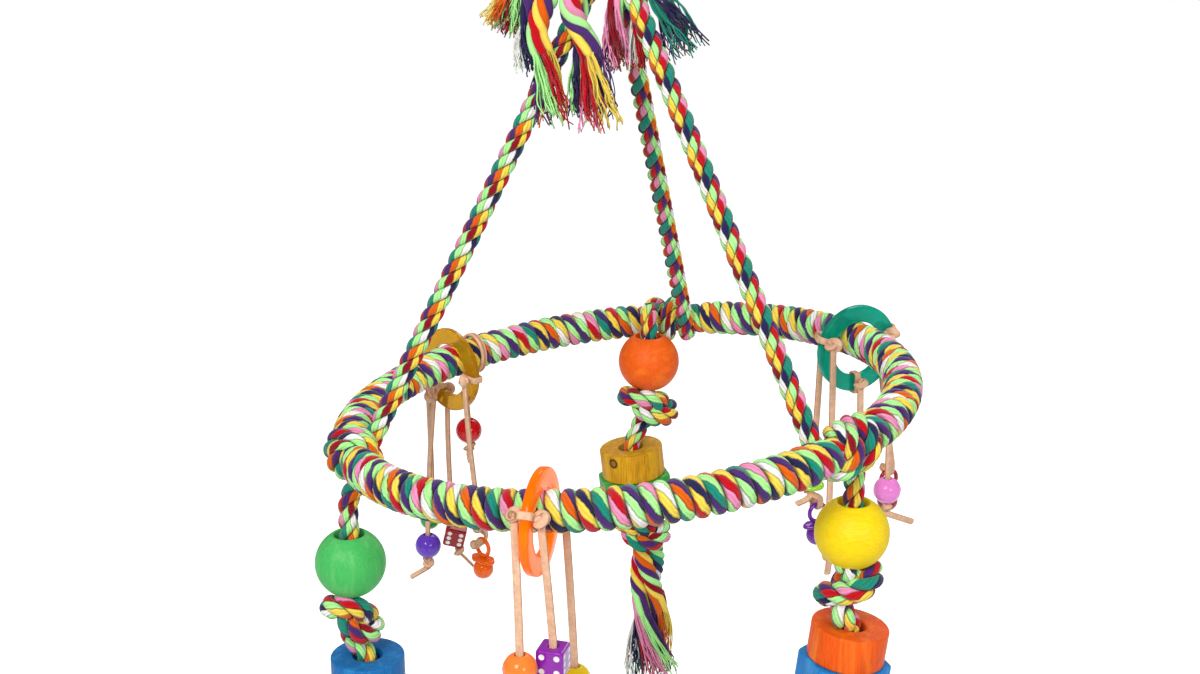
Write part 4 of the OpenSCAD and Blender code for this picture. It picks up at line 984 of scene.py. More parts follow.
def turned(profile, base, axis=(0, 0, -1.0), points=96, corner=None):
    """A closed (radius, depth) outline run round an axis from a base point: side * radius * cos + other
    side * radius * sin. The outline goes up on the outside and down the bore, and `corner` scales the
    outside at each angle."""
    down = unit(np.array(axis, float))
    side = unit(np.cross(down, [0, 1.0, 0]))
    other = np.cross(down, side)
    a = -np.linspace(0, 2 * np.pi, points, endpoint=False)
    radius, depth = profile[:, 0], profile[:, 1]
    far = radius[None, :] * np.ones((points, 1))
    if corner is not None:
        outside = radius > WOOD_BORE / 2 + 1
        far = np.where(outside, far * corner(a)[:, None], far)
    x, y = far * np.cos(a)[:, None], -far * np.sin(a)[:, None]
    return base + side * x[..., None] + other * y[..., None] - down * depth[None, :, None]


print("balls", BALL_D, "mm, drums", DRUM_D, "by", DRUM_H, "mm, blocks", BLOCK_AF, "by", BLOCK_H, "mm")


# %% Outlines of a ball, a disc and a hexagon
def ball_profile(diameter, bore, points=40, round_over=0.8):
    """Up the outside of a ball from its lower rim to its upper one, as radius * cos and sin, then down the
    bore."""
    r, b = diameter / 2, bore / 2
    edge = np.degrees(np.arccos((b + round_over) / r))
    a = np.linspace(-edge, edge, points)
    outside = np.stack([r * cosd(a), r * sind(a)], axis=1)
    rim = r * sind(edge)
    down = np.linspace(rim - round_over, -rim + round_over, 8)
    return np.concatenate([outside, np.stack([np.full(8, b), down], axis=1)])


def disc_profile(outer_r, height, bore, edge):
    """A drum's or block's outline with quarter circles at its edges, its depth measured down from its top
    face."""
    a = np.linspace(-90, 0, 6)
    low = np.stack([outer_r - edge + edge * cosd(a), -height + edge + edge * sind(a)], axis=1)
    top = np.stack([outer_r - edge + edge * cosd(a + 90), -edge + edge * sind(a + 90)], axis=1)
    rim = bore / 2
    mouth = [(rim + 1.0, 0), (rim + 0.3, -0.3), (rim, -1.0)]
    inner = mouth + [(rim, -height / 2)] + [(r, -height - depth) for r, depth in mouth[::-1]]
    face_in, face_out = [((outer_r + rim) / 2, 0)], [((outer_r + rim) / 2, -height)]
    return np.concatenate([low, top, face_in, inner, face_out])


def hexagon(turned_by):
    """Outside scale of a rounded hexagon: one over the power mean of how far each side's direction is
    reached."""
    def scale(a):
        """The scale at each angle."""
        c = np.abs(np.cos(a[:, None] - np.radians(turned_by) - np.pi / 3 * np.arange(3)))
        return 1 / np.sum(c**26, axis=1) ** (1 / 26)
    return scale


print("a ball's outline has", len(ball_profile(BALL_D, WOOD_BORE)), "points")

# %% [markdown]
# Dyed wood has a dull sheen and streaks that are darker where pores drank dye and paler where the grain is
# hard. The streaks are noise, drawn out along the grain by a Mapping node. Real pores are a tenth of a
# millimetre wide, so they are drawn at half a millimetre. One drum has a dark branch knot, a ring of dark
# dye with a dark middle, worked out from the distance to a point.

# %% Dyed wood
ALONG_GRAIN = 0.07
BRANCH_KNOT = PENDANTS["back"]["drum_top"] + np.array([-13.5, -19.5, -7.0])


def dyed_wood(name, base, dark, pale, grain, strength, branch=None):
    """Wood whose streaks run along the grain: noise drawn out along it. `branch` is the middle of a branch
    knot, where there is one."""
    material, t = blank(name)
    place = add(t, "TexCoord").outputs["Object"]
    along = add(t, "Mapping", {"Vector": place, "Scale": tuple(ALONG_GRAIN if g else 1.0 for g in grain)})
    fine = add(t, "TexNoise", {"Vector": along, "Scale": across_mm(1.0526), "Detail": 4.0, "Roughness": 0.6})
    wide = add(t, "TexNoise", {"Vector": along, "Scale": across_mm(7.6923), "Detail": 3.0, "Distortion": 0.6})
    pores = add(t, "TexNoise", {"Vector": along, "Scale": across_mm(0.45455), "Detail": 2.0})
    blotch = add(t, "TexNoise", {"Vector": place, "Scale": across_mm(16.667), "Detail": 2.0})
    colour = linear(base)
    for noise, low, high, share, tint in ((fine, 0.42, 0.66, 0.55, dark), (wide, 0.48, 0.72, 0.6, pale),
                                          (pores, 0.62, 0.72, 0.4, dark)):
        streak = add(t, "MapRange", {0: noise, 1: low, 2: high, 3: 0.0, 4: share * strength})
        colour = add(t, "Mix", {0: streak, 6: colour, 7: linear(tint)}, data_type="RGBA").outputs[2]
    value = add(t, "Math", {0: blotch, 1: 0.24, 2: 0.88}, operation="MULTIPLY_ADD")
    colour = add(t, "HueSaturation", {"Color": colour, "Value": value})
    if branch is not None:
        gap = add(t, "VectorMath", {0: place, 1: tuple(branch * MM)}, operation="DISTANCE").outputs["Value"]
        edge = add(t, "MapRange", {0: gap, 1: 3.4 * MM, 2: 4.4 * MM, 3: 1.0, 4: 0.0})
        hollow = add(t, "MapRange", {0: gap, 1: 1.6 * MM, 2: 2.6 * MM, 3: 0.5, 4: 1.0})
        core = add(t, "MapRange", {0: gap, 1: 0.6 * MM, 2: 1.4 * MM, 3: 1.0, 4: 0.0})
        rim = add(t, "Math", {0: edge, 1: hollow}, operation="MULTIPLY")
        stain = add(t, "Math", {0: rim, 1: core}, operation="MAXIMUM")
        colour = add(t, "Mix", {0: stain, 6: colour, 7: linear("4A2A0C")}, data_type="RGBA").outputs[2]
    height = add(t, "Math", {0: pores, 1: 0.5}, operation="MULTIPLY")
    height = add(t, "Math", {0: fine, 1: 0.5, 2: height}, operation="MULTIPLY_ADD")
    bump = add(t, "Bump", {"Height": height, "Strength": 0.35, "Distance": 0.3 * MM})
    rough = add(t, "Math", {0: fine, 1: 0.3, 2: 0.38}, operation="MULTIPLY_ADD")
    shader = add(t, "BsdfPrincipled", {"Base Color": colour, "Roughness": rough, "Normal": bump,
                                       "Specular IOR Level": 0.25})
    add(t, "OutputMaterial", {"Surface": shader})
    return material


print("streaks are drawn about", round(1 / ALONG_GRAIN), "times as long as they are wide")

# %% The nine colours: base, dark streaks, pale streaks, grain's direction, how strong the streaks are
UPRIGHT, LEVEL, AWAY = (0, 0, 1), (1, 0, 0), (0, 1, 0)
WOODS = {
    "ball_green": ("48BC5E", "2A9446", "86D584", UPRIGHT, 0.6),
    "ball_yellow": ("F8D800", "E2A000", "FFEC3C", LEVEL, 0.5),
    "ball_orange": ("F06004", "CC4000", "FF8C28", AWAY, 0.7),
    "drum_blue": ("0E70B6", "065290", "3494D0", UPRIGHT, 1.0),
    "drum_orange": ("F45C02", "C84600", "FF8C28", UPRIGHT, 1.1),
    "drum_ochre": ("D89A04", "865402", "EEBA22", UPRIGHT, 1.2),
    "block_olive": ("ACA01C", "82760C", "CCC244", UPRIGHT, 1.0),
    "block_blue": ("1682CE", "0A60A6", "50A6E4", UPRIGHT, 1.0),
    "block_green": ("38A642", "1E7A2A", "74C86C", UPRIGHT, 1.0),
}
woods = {}
for name, look in WOODS.items():
    shape, colour = name.split("_")
    branch = BRANCH_KNOT if name == "drum_ochre" else None
    woods[name] = dyed_wood("dyed wood " + colour + " " + shape, *look, branch=branch)
print(len(woods), "dyed woods")

# %% Balls, drums and blocks, with how far each block is turned
WOOD_ON = {"left": ("ball_green", "drum_blue", "block_olive", 0),
           "right": ("ball_yellow", "drum_orange", "block_blue", 20),
           "back": ("ball_orange", "drum_ochre", "block_green", 12)}
for name, (ball, drum, block, hex_turn) in WOOD_ON.items():
    p = PENDANTS[name]
    under = p["drum_top"] + p["axis"] * (DRUM_H + SEAT_GAP)
    drum_outline = disc_profile(DRUM_D / 2, DRUM_H, WOOD_BORE, WOOD_EDGE)
    block_outline = disc_profile(BLOCK_AF / 2, BLOCK_H, WOOD_BORE, WOOD_EDGE)
    shapes = {ball: turned(ball_profile(BALL_D, WOOD_BORE), p["ball"]),
              drum: turned(drum_outline, p["drum_top"], p["axis"]),
              block: turned(block_outline, under, p["axis"], points=144, corner=hexagon(hex_turn))}
    for node, grid in shapes.items():
        piece(node + "_wood", skin(grid, ring=True), woods[node], node)
    print(name, "pendant:", ball, drum, block)

# %% [markdown]
# ## Clear acrylic rings
#
# The rings are cut from tinted sheet: see-through, with a hard gloss, and a little milky. Light that goes
# into the top comes out of the edge, which the orange one shows most; that is painted as a faint glow of
# each ring's own colour, given off by the milky share of its surface. The edges are rounded a little, as
# from a tumbler. Handling leaves fine scratches, which are drawn two millimetres wide, as dull patches,
# because a real one would not show.

# %% Tinted acrylic
ACRYLIC_R, ACRYLIC_BAND, ACRYLIC_T, ACRYLIC_EDGE, WRAP_REST = 24.75, 11.5, 5.0, 1.0, 6.096


def tinted(name, colour, deep, glow, milky):
    """Tinted clear plastic: light passes through, but for the `milky` share, which is scattered in the
    plastic's own colour and also gives off a painted glow of that colour at `glow` strength."""
    material, t = blank(name)
    place = add(t, "TexCoord").outputs["Object"]
    flow = add(t, "TexNoise", {"Vector": place, "Scale": across_mm(28.571), "Detail": 2.0})
    tint = add(t, "Mix", {0: flow, 6: linear(colour), 7: linear(deep)}, data_type="RGBA").outputs[2]
    scratch = add(t, "TexNoise", {"Vector": place, "Scale": across_mm(2.381), "Detail": 3.0})
    rough = add(t, "MapRange", {0: scratch, 1: 0.55, 2: 0.75, 3: 0.04, 4: 0.22})
    bump = add(t, "Bump", {"Height": flow, "Strength": 0.12, "Distance": 1.5 * MM})
    clear = add(t, "BsdfPrincipled", {"Base Color": tint, "Roughness": rough, "Normal": bump,
                                      "Transmission Weight": 1.0, "IOR": 1.2})
    # Painted glow: the milky share gives off light of the tint's own colour at `glow` strength
    cloud = add(t, "BsdfPrincipled", {"Base Color": tint, "Roughness": 0.15, "Specular IOR Level": 0.15,
                                      "Emission Color": linear(colour), "Emission Strength": glow})
    both = add(t, "MixShader", {0: milky, 1: clear, 2: cloud})
    add(t, "OutputMaterial", {"Surface": both})
    return material


ACRYLICS = {
    "amber": tinted("amber acrylic", "DAA61C", "B8880C", glow=0.06, milky=0.4),
    "orange": tinted("orange acrylic", "FF8C00", "FF7400", glow=0.28, milky=0.5),
    "teal": tinted("teal acrylic", "12B89A", "08826E", glow=0.1, milky=0.5),
}
print(len(ACRYLICS), "tints of acrylic")

# %% Rings on the hoop
RING_AXIS = np.array([0, 1.0, 0])


def ring_directions(az):
    """Three directions at an angle round the hoop: level along its radius, along its tube, and up."""
    return np.stack([level_out(np.asarray(az, float)), [-sind(az), cosd(az), 0], [0, 0, 1.0]])


def in_frame(at, carrier):
    """Points given in a carrier's directions, placed in the world."""
    middle, directions = carrier
    return middle + np.asarray(at, float) @ directions


def rounded_box(half_x, half_y, edge, steps=4):
    """A rectangle with a quarter circle at each corner, counter-clockwise."""
    a = np.linspace(0, 90, steps)
    corners = []
    for k, (sx, sy) in enumerate(((1, 1), (-1, 1), (-1, -1), (1, -1))):
        x = sx * (half_x - edge) + edge * cosd(a + 90 * k)
        y = sy * (half_y - edge) + edge * sind(a + 90 * k)
        corners.append(np.stack([x, y], axis=1))
    return np.concatenate(corners)


def round_ring(radius, section, points):
    """An outline run round a ring: out * (radius + x) + the ring's axis * y, where out goes once round."""
    a = np.linspace(0, 360, points, endpoint=False)
    out = np.stack([cosd(a), 0 * a, sind(a)], axis=1)
    return out[:, None, :] * (radius + section[None, :, :1]) + RING_AXIS * section[None, :, 1:]


carriers = {}
for name, az in RING_AZ.items():
    carriers[name] = (on_hoop(az, 0, 0) - [0, 0, WRAP_REST], ring_directions(az))
    section = rounded_box(ACRYLIC_BAND / 2, ACRYLIC_T / 2, ACRYLIC_EDGE)
    grid = in_frame(round_ring(ACRYLIC_R, section, 120), carriers[name])
    piece("ring_" + name, skin(grid, ring=True), ACRYLICS[name], "acrylic_" + name)
    print(name, "ring at", np.round(carriers[name][0], 1))

# %% [markdown]
# ## Leather laces
#
# The laces are cut from undyed leather: a smooth pink-tan face, and darker cut edges where the fibres show.
# The grain of leather is finer than half a millimetre and is drawn about three times as coarse, so that it
# still shows as small dark creases. A lace is a flat tube along its route. Each one is tied round its ring
# by a band with a small knot, which is the same overhand knot as the rope's, and ends in such a knot under
# its charm.


# %% Leather
def leather(name, face, edge):
    """Undyed leather: fine creases and fibres all over, and a darker cut edge along both sides of the
    lace."""
    material, t = blank(name)
    place = add(t, "TexCoord").outputs["Object"]
    split = add(t, "SeparateXYZ", {0: add(t, "UVMap", uv_map="Yarn")})
    fibre = add(t, "TexNoise", {"Vector": place, "Scale": across_mm(1.4286), "Detail": 4.0})
    tone = add(t, "TexNoise", {"Vector": place, "Scale": across_mm(5.0), "Detail": 3.0})
    crease = add(t, "TexVoronoi", {"Vector": place, "Scale": across_mm(1.4286)}, feature="DISTANCE_TO_EDGE")
    side = add(t, "Math", {0: split.outputs[0], 1: 2.0}, operation="MULTIPLY")
    side = add(t, "Math", {0: side, 1: 0.5}, operation="PINGPONG")
    rim = add(t, "MapRange", {0: side, 1: 0.0, 2: 0.16, 3: 1.0, 4: 0.0})
    colour = add(t, "Mix", {0: rim, 6: linear(face), 7: linear(edge)}, data_type="RGBA").outputs[2]
    value = add(t, "Math", {0: fibre, 1: 0.5, 2: 0.48}, operation="MULTIPLY_ADD")
    value = add(t, "Math", {0: tone, 1: 0.55, 2: value}, operation="MULTIPLY_ADD")
    shade = add(t, "HueSaturation", {"Color": colour, "Value": value})
    height = add(t, "Math", {0: fibre, 1: 0.7, 2: crease}, operation="MULTIPLY_ADD")
    bump = add(t, "Bump", {"Height": height, "Strength": 0.5, "Distance": 0.4 * MM})
    shader = add(t, "BsdfPrincipled", {"Base Color": shade, "Roughness": 0.78, "Normal": bump,
                                       "Specular IOR Level": 0.25})
    add(t, "OutputMaterial", {"Surface": shader})
    return material


lace_leather = leather("undyed lace leather", "E2B696", "A87850")
print(lace_leather.name, "with", len(lace_leather.node_tree.nodes), "nodes")

# %% A lace, its knots and the band that ties it
LACE_WIDE, LACE_THICK, LACE_END, LACE_KNOT_R = 4.6, 2.4, 1.2, 4.8
LACE_IN_END_KNOT, LACE_IN_HANDLE_KNOT, LACE_IN_TIE_KNOT = 2.75, 2.2, 2.9
LACE_OUTLINE = oval(LACE_WIDE / 2, LACE_THICK / 2, 14, square=0.62)
TIE_FACE, TIE_DEEP, TIE_TALL, TIE_T, TIE_EDGE = 7.6, 8.8, 15.3, 1.6, 1.6


def strap(path, first):
    """A flat lace along a path; its width lies along the `first` direction where it starts."""
    return skin(carried(path, LACE_OUTLINE, size=round_ends(path, LACE_END), first=np.array(first, float)))


def lace_knot(middle, axis, spin, thick=LACE_IN_END_KNOT):
    """The line of an overhand knot for a lace."""
    return knot_at(middle, thick, spin, axis=axis, offset=0.5)


def tie_out(angle):
    """The way out from a ring's middle at an angle from straight down."""
    return np.array([sind(angle), 0, -cosd(angle)])


def tie_band(angle):
    """A flat lace bent round the ring's section: the line of a rounded box, and at each of its points
    across * x + outwards * y."""
    out, across = tie_out(angle), np.array([cosd(angle), 0, sind(angle)])
    box = rounded_box((TIE_TALL - TIE_T) / 2, (TIE_DEEP - TIE_T) / 2, TIE_EDGE, steps=6)
    loop = out * (ACRYLIC_R + box[:, :1]) + RING_AXIS * box[:, 1:]
    normal = unit(np.cross(np.roll(loop, -1, axis=0) - np.roll(loop, 1, axis=0), across))
    flat = oval(LACE_WIDE / 2, TIE_T / 2, 12, square=0.5)
    return loop[:, None, :] + across * flat[None, :, :1] + normal[:, None, :] * flat[None, :, 1:]


print("laces are", LACE_WIDE, "by", LACE_THICK, "mm, and a band's loop has", len(tie_band(0)), "points")

# %% Ties on the rings: angle from straight down, and the faces of the ring that carry a knot
TIES = {"amber": {"outer": (33, (1, -1)), "inner": (-88, (1,))},
        "orange": {"front": (118, (1, -1)), "back": (-69, (1,))},
        "teal": {"left": (-108, (1, -1)), "middle": (0, (-1,)), "right": (112, (1, -1))}}
lace_starts = {}
for name, ties in TIES.items():
    parts = []
    for k, (place, (angle, faces)) in enumerate(ties.items()):
        parts.append(skin(in_frame(tie_band(angle), carriers[name]), ring=True))
        for j, face in enumerate(faces):
            at = tie_out(angle) * ACRYLIC_R + RING_AXIS * face * TIE_FACE
            knot = lace_knot(at, tie_out(angle), 70 * k + 110 * j, LACE_IN_TIE_KNOT)
            parts.append(strap(in_frame(knot, carriers[name]), carriers[name][1][0]))
            lace_starts[name, place, face] = at - [0, 0, LACE_KNOT_R * 0.55]
    piece("lace_ties_" + name, parts, lace_leather, "ties_" + name)
    print(name, "ring carries", len(ties), "bands of lace")

# %% [markdown]
# One lace is tied straight round the hoop, by a wider band. Its place is given in the same three
# directions, from the hoop's core.

# %% The tie on the hoop
HOOP_TIE_AZ, HOOP_TIE_R, HOOP_TIE_TURN, HOOP_LACE_DROP = 128.083, 13.8, 30.0, 2
carriers["hoop"] = (on_hoop(HOOP_TIE_AZ, 0, 0), ring_directions(HOOP_TIE_AZ))
hoop_knot = tie_out(HOOP_TIE_TURN) * (HOOP_TIE_R + LACE_KNOT_R)
lace_starts["hoop"] = hoop_knot - [0, 0, HOOP_LACE_DROP]
hoop_section = oval(LACE_THICK / 2, LACE_WIDE / 2, 12, square=0.6)
hoop_band = in_frame(round_ring(HOOP_TIE_R, hoop_section, 72), carriers["hoop"])
hoop_tie_knot = in_frame(lace_knot(hoop_knot, (0, 0, -1.0), 60, LACE_IN_TIE_KNOT), carriers["hoop"])
print("tie on the hoop at", np.round(carriers["hoop"][0], 1))

# %% [markdown]
# Each charm has its place in the directions of the ring that carries it, from that ring's middle. A lace to
# a bead or die runs through its bore and ends in a knot with a short cut tail. A lace to a dummy charm runs
# round the wire of its handle and is tied back. A lime ring is held by a knot in the lace, and a second
# lace leads on from it to the charm under it. The numbers after each charm turn its knot and lead its tail.

# %% Where the charms hang, and which lace leads to each
CHARM_AT = {
    "bead_purple": ("amber", (21, 9, -143)), "die_red": ("amber", (10, -9, -135)),
    "dummy_green": ("amber", (33, -3, -112)), "lime_ring_amber": ("amber", (-34, 5, -108)),
    "dummy_orange": ("amber", (-38, 5, -127)), "bead_red": ("hoop", (9, 0, -63)),
    "bead_orange": ("orange", (32, -2, -74)), "die_purple": ("orange", (16, 12, -74)),
    "bead_yellow": ("orange", (-24, 12, -108)), "bead_blue": ("teal", (-24, -12, -132)),
    "lime_ring_teal": ("teal", (-28, 6, -99)), "dummy_purple": ("teal", (-22, 6, -121)),
    "die_green": ("teal", (4, -6, -126)), "bead_pink": ("teal", (25, -10, -106)),
    "dummy_red": ("teal", (37, 6, -105)),
}
LACES = {
    "amber purple": ("laces_amber_left", ("amber", "outer", 1), -3, "bead_purple", 20, (8, 14, -8)),
    "amber red": ("laces_amber_left", ("amber", "outer", -1), 0, "die_red", 80, (-18, 0, -7)),
    "amber green": ("laces_amber_left", ("amber", "outer", 1), 3, "dummy_green", 90, None),
    "orange orange": ("laces_orange_front", ("orange", "front", -1), 0, "bead_orange", 140, (4, -14, -6)),
    "orange purple": ("laces_orange_front", ("orange", "front", 1), 0, "die_purple", 200, (4, 12, -6)),
    "orange yellow": ("lace_orange_back", ("orange", "back", 1), 0, "bead_yellow", 260, (-4, 12, -8)),
    "teal blue": ("laces_teal_left", ("teal", "left", -1), 0, "bead_blue", 310, (-8, -10, -6)),
    "teal violet lime": ("laces_teal_left", ("teal", "left", 1), 0, "lime_ring_teal", 30, (-14, -3, -3)),
    "teal violet": ("laces_teal_left", "lime_ring_teal", 0, "dummy_purple", 200, None),
    "teal green": ("lace_teal_middle", ("teal", "middle", -1), 0, "die_green", 50, (10, -8, -8)),
    "teal pink": ("laces_teal_right", ("teal", "right", -1), 0, "bead_pink", 110, (22, -6, -9)),
    "teal dark": ("laces_teal_right", ("teal", "right", 1), 0, "dummy_red", 90, None),
    "amber orange lime": ("lace_amber_right", ("amber", "inner", 1), 0, "lime_ring_amber", 30, (-4, -3, -4)),
    "amber orange": ("lace_amber_right", "lime_ring_amber", 0, "dummy_orange", 200, None),
    "hoop red": ("lace_hoop", "hoop", 0, "bead_red", 170, (-8, 4, -4)),
}
for charm, (carrier_name, at) in CHARM_AT.items():
    if charm.startswith("lime"):
        lace_starts[charm] = np.array(at) - [0, 1.5, 6.5]
print(len(CHARM_AT), "charms on", len(LACES), "laces")

# %% Routes of the laces
SEATS = {"bead": 13.32, "die": 13.1, "die_red": 13.85}
RED_DIE_LEAN, HANDLE_WIRE_UP, HANDLE_SLACK, LIME_KNOT_DROP = -19.0, 6.5, 3.247, 3.7


def hanging_lace(a, b, bow, steps=9):
    """Points of a lace between two places, with a slight bow at its middle: a * (1 - s) + b * s + bow *
    sin."""
    s = np.linspace(0, 1, steps)[:, None]
    return np.array(a) * (1 - s) + np.array(b) * s + np.array(bow) * np.sin(np.pi * s)


def through_bore(top, charm, eye, spin, tail):
    """Down to the middle of a bead or die, through its bore, then a knot and a short tail."""
    lean = RED_DIE_LEAN if charm == "die_red" else 0.0
    down = np.array([sind(lean), 0, -cosd(lean)])
    knot = lace_knot(eye + down * SEATS.get(charm, SEATS[charm.split("_")[0]]), down, spin)
    line = hanging_lace(top, eye - down * 10, bow=(0.8, 0.5, 0))
    end = [knot[-1] + tail * 0.45, knot[-1] + tail]
    return soften(even(np.concatenate([line, [eye], knot, end]), LACE_STEP), 12)


def round_handle(top, eye, spin):
    """Down to a dummy's handle, round its wire, and up to a knot behind."""
    wire = eye + [0, 0, HANDLE_WIRE_UP]
    a = np.linspace(180, 292, 9)
    bend = wire + HANDLE_SLACK * np.stack([0 * a, cosd(a), sind(a)], axis=1)
    knot = lace_knot(bend[-1] + [0, 5.4, 1.5], (0, 1.0, -0.4), spin, LACE_IN_HANDLE_KNOT)
    line = hanging_lace(top, bend[0] + [0, 0, 6], bow=(-0.7, 0.4, 0))
    return soften(even(np.concatenate([line, bend, knot]), LACE_STEP), 10)


def through_lime(top, eye, spin, tail):
    """Down through a lime ring to the knot that holds it, and a short tail."""
    knot = lace_knot(eye - [0, 0, LIME_KNOT_DROP], (0, 0, -1.0), spin)
    line = hanging_lace(top, eye + [0, 0, 6], bow=(0.8, 0.4, 0))
    end = [knot[-1] + tail * 0.4 + [0, -0.8, -0.6], knot[-1] + tail]
    return soften(even(np.concatenate([line, knot, end]), LACE_STEP), 12)


print("a lace's knot sits", SEATS["bead"], "mm from the middle of a bead")

# %% Laces become pieces
for key, (node, start, aside, charm, spin, tail) in LACES.items():
    carrier_name, eye = CHARM_AT[charm]
    top, eye = lace_starts[start] + [aside, 0, 0], np.array(eye, float)
    if charm.startswith("dummy"):
        path = round_handle(top, eye, spin)
    elif charm.startswith("lime"):
        path = through_lime(top, eye, spin, np.array(tail))
    else:
        path = through_bore(top, charm, eye, spin, np.array(tail))
    path = in_frame(path, carriers[carrier_name])
    first = carriers[carrier_name][1][1 if carrier_name == "orange" else 0]
    thing = piece(node + "_" + "_".join(key.split()), strap(path, first), lace_leather, node)
    print(key, "lace", round(run(path)[-1]), "mm")
band_parts = [skin(hoop_band, ring=True), strap(hoop_tie_knot, carriers["hoop"][1][0])]
piece("lace_hoop_band", band_parts, lace_leather, "lace_hoop")
print(len(LACES), "laces")

# %% [markdown]
# ## Plastic charms
#
# The charms are moulded plastic. Beads and dice are nearly opaque, with a thin clear skin that mirrors the
# lights sharply, and light goes a little way into them. The dummies let a little light through and the lime
# rings a third of it. Moulded surfaces are never quite even, so a slow, shallow bump bends the highlights,
# and patches of a millimetre or two are duller. Both are drawn coarser than the fine orange peel of a real
# moulding.


# %% Plastics
def moulded(name, colour, clear=0.0, depth=0.12, pips=False):
    """Moulded plastic; `clear` lets light through, `depth` lets it in, and `pips` paints white spots where
    the dye number is below 1."""
    material, t = blank(name)
    place = add(t, "TexCoord").outputs["Object"]
    slow = add(t, "TexNoise", {"Vector": place, "Scale": across_mm(6.25), "Detail": 1.0})
    haze = add(t, "TexNoise", {"Vector": place, "Scale": across_mm(1.6667), "Detail": 3.0})
    value = add(t, "Math", {0: slow, 1: 0.2, 2: 0.9}, operation="MULTIPLY_ADD")
    tint = add(t, "HueSaturation", {"Color": linear(colour), "Value": value})
    rough = add(t, "MapRange", {0: haze, 1: 0.5, 2: 0.8, 3: 0.12, 4: 0.3})
    if pips:
        gap = add(t, "Attribute", attribute_name="dye").outputs["Fac"]
        paint = add(t, "MapRange", {0: gap, 1: 0.92, 2: 1.02, 3: 1.0, 4: 0.0})
        tint = add(t, "Mix", {0: paint, 6: tint, 7: linear("F6F4F0")}, data_type="RGBA").outputs[2]
    bump = add(t, "Bump", {"Height": slow, "Strength": 0.15, "Distance": 0.8 * MM})
    shader = add(t, "BsdfPrincipled", {
        "Base Color": tint, "Roughness": rough, "Normal": bump, "Specular IOR Level": 0.3, "IOR": 1.42,
        "Coat Weight": 0.22, "Coat Roughness": 0.05, "Transmission Weight": clear,
        "Subsurface Weight": depth, "Subsurface Radius": (4 * MM, 2 * MM, 2 * MM), "Subsurface Scale": 0.3})
    add(t, "OutputMaterial", {"Surface": shader})
    return material


def plastic_for(node, colour, **look):
    """The plastic of one charm, named after it."""
    return moulded(node.replace("_", " ") + " plastic", colour, **look)


# %% Beads
BEAD_D, BEAD_BORE = 19.5, 6.0
BEADS = {"bead_purple": "643AC0", "bead_red": "C8000C", "bead_orange": "FF8432", "bead_yellow": "F6D21C",
         "bead_blue": "2A5FD0", "bead_pink": "F38ADB"}
for node, colour in BEADS.items():
    carrier_name, at = CHARM_AT[node]
    middle = in_frame(at, carriers[carrier_name])
    grid = turned(ball_profile(BEAD_D, BEAD_BORE, 30, 0.5), middle, points=64)
    piece(node + "_plastic", skin(grid, ring=True), plastic_for(node, colour), node)
print(len(BEADS), "beads")

# %% Lime rings, which lie level
LIME_D, LIME_WIRE = 14.0, 4.2
lime_plastic = moulded("lime plastic", "B4F23C", clear=0.35, depth=0.3)
for node in ("lime_ring_amber", "lime_ring_teal"):
    carrier_name, at = CHARM_AT[node]
    a = -np.linspace(0, 2 * np.pi, 64, endpoint=False)[:, None]
    wire = oval(LIME_WIRE / 2, LIME_WIRE / 2, 20)
    radius = LIME_D / 2 + wire[:, 0]
    grid = np.stack([radius * np.cos(a), radius * np.sin(a), wire[:, 1] + 0 * a], axis=-1)
    piece(node + "_plastic", skin(in_frame(grid + at, carriers[carrier_name]), ring=True), lime_plastic, node)
print("a lime ring has", triangles["lime_ring_amber_plastic"], "triangles")

# %% [markdown]
# A die starts as a cube of grids. Every point is drawn in to a rounded cube, whose edges come from a power
# mean of the three coordinates, and then to a sphere that takes the corners off, as on real dice. Pips are
# shallow cups. Each point keeps its distance to the nearest pip, so the paint's edge can be sharp although
# the grid is coarse.

# %% A die: each face's outward direction, its side, and its number, where 0 is the mouth of the bore
DIE_W, DIE_BALL, DIE_POWER, FACE_POINTS = 16.0, 25.0, 14, 45
PIP_R, PIP_AT, PIP_DEEP, NO_PIP, MOUTH_DEEP, MOUTH_CLEAR, MOUTH_EDGE = 1.75, 4.32, 0.8, 9.0, 6.5, 0.25, 0.5
PIP_ROWS = {0: [], 3: [(1, 1), (0, 0), (-1, -1)], 4: [(1, 1), (1, -1), (-1, 1), (-1, -1)],
            6: [(x, z) for x in (-1, 1) for z in (-1, 0, 1)]}
DIE_FACES = [((0, -1, 0), (1, 0, 0), 6), ((0, 1, 0), (-1, 0, 0), 6), ((1, 0, 0), (0, 1, 0), 4),
             ((-1, 0, 0), (0, -1, 0), 3), ((0, 0, 1), (1, 0, 0), 0), ((0, 0, -1), (-1, 0, 0), 0)]


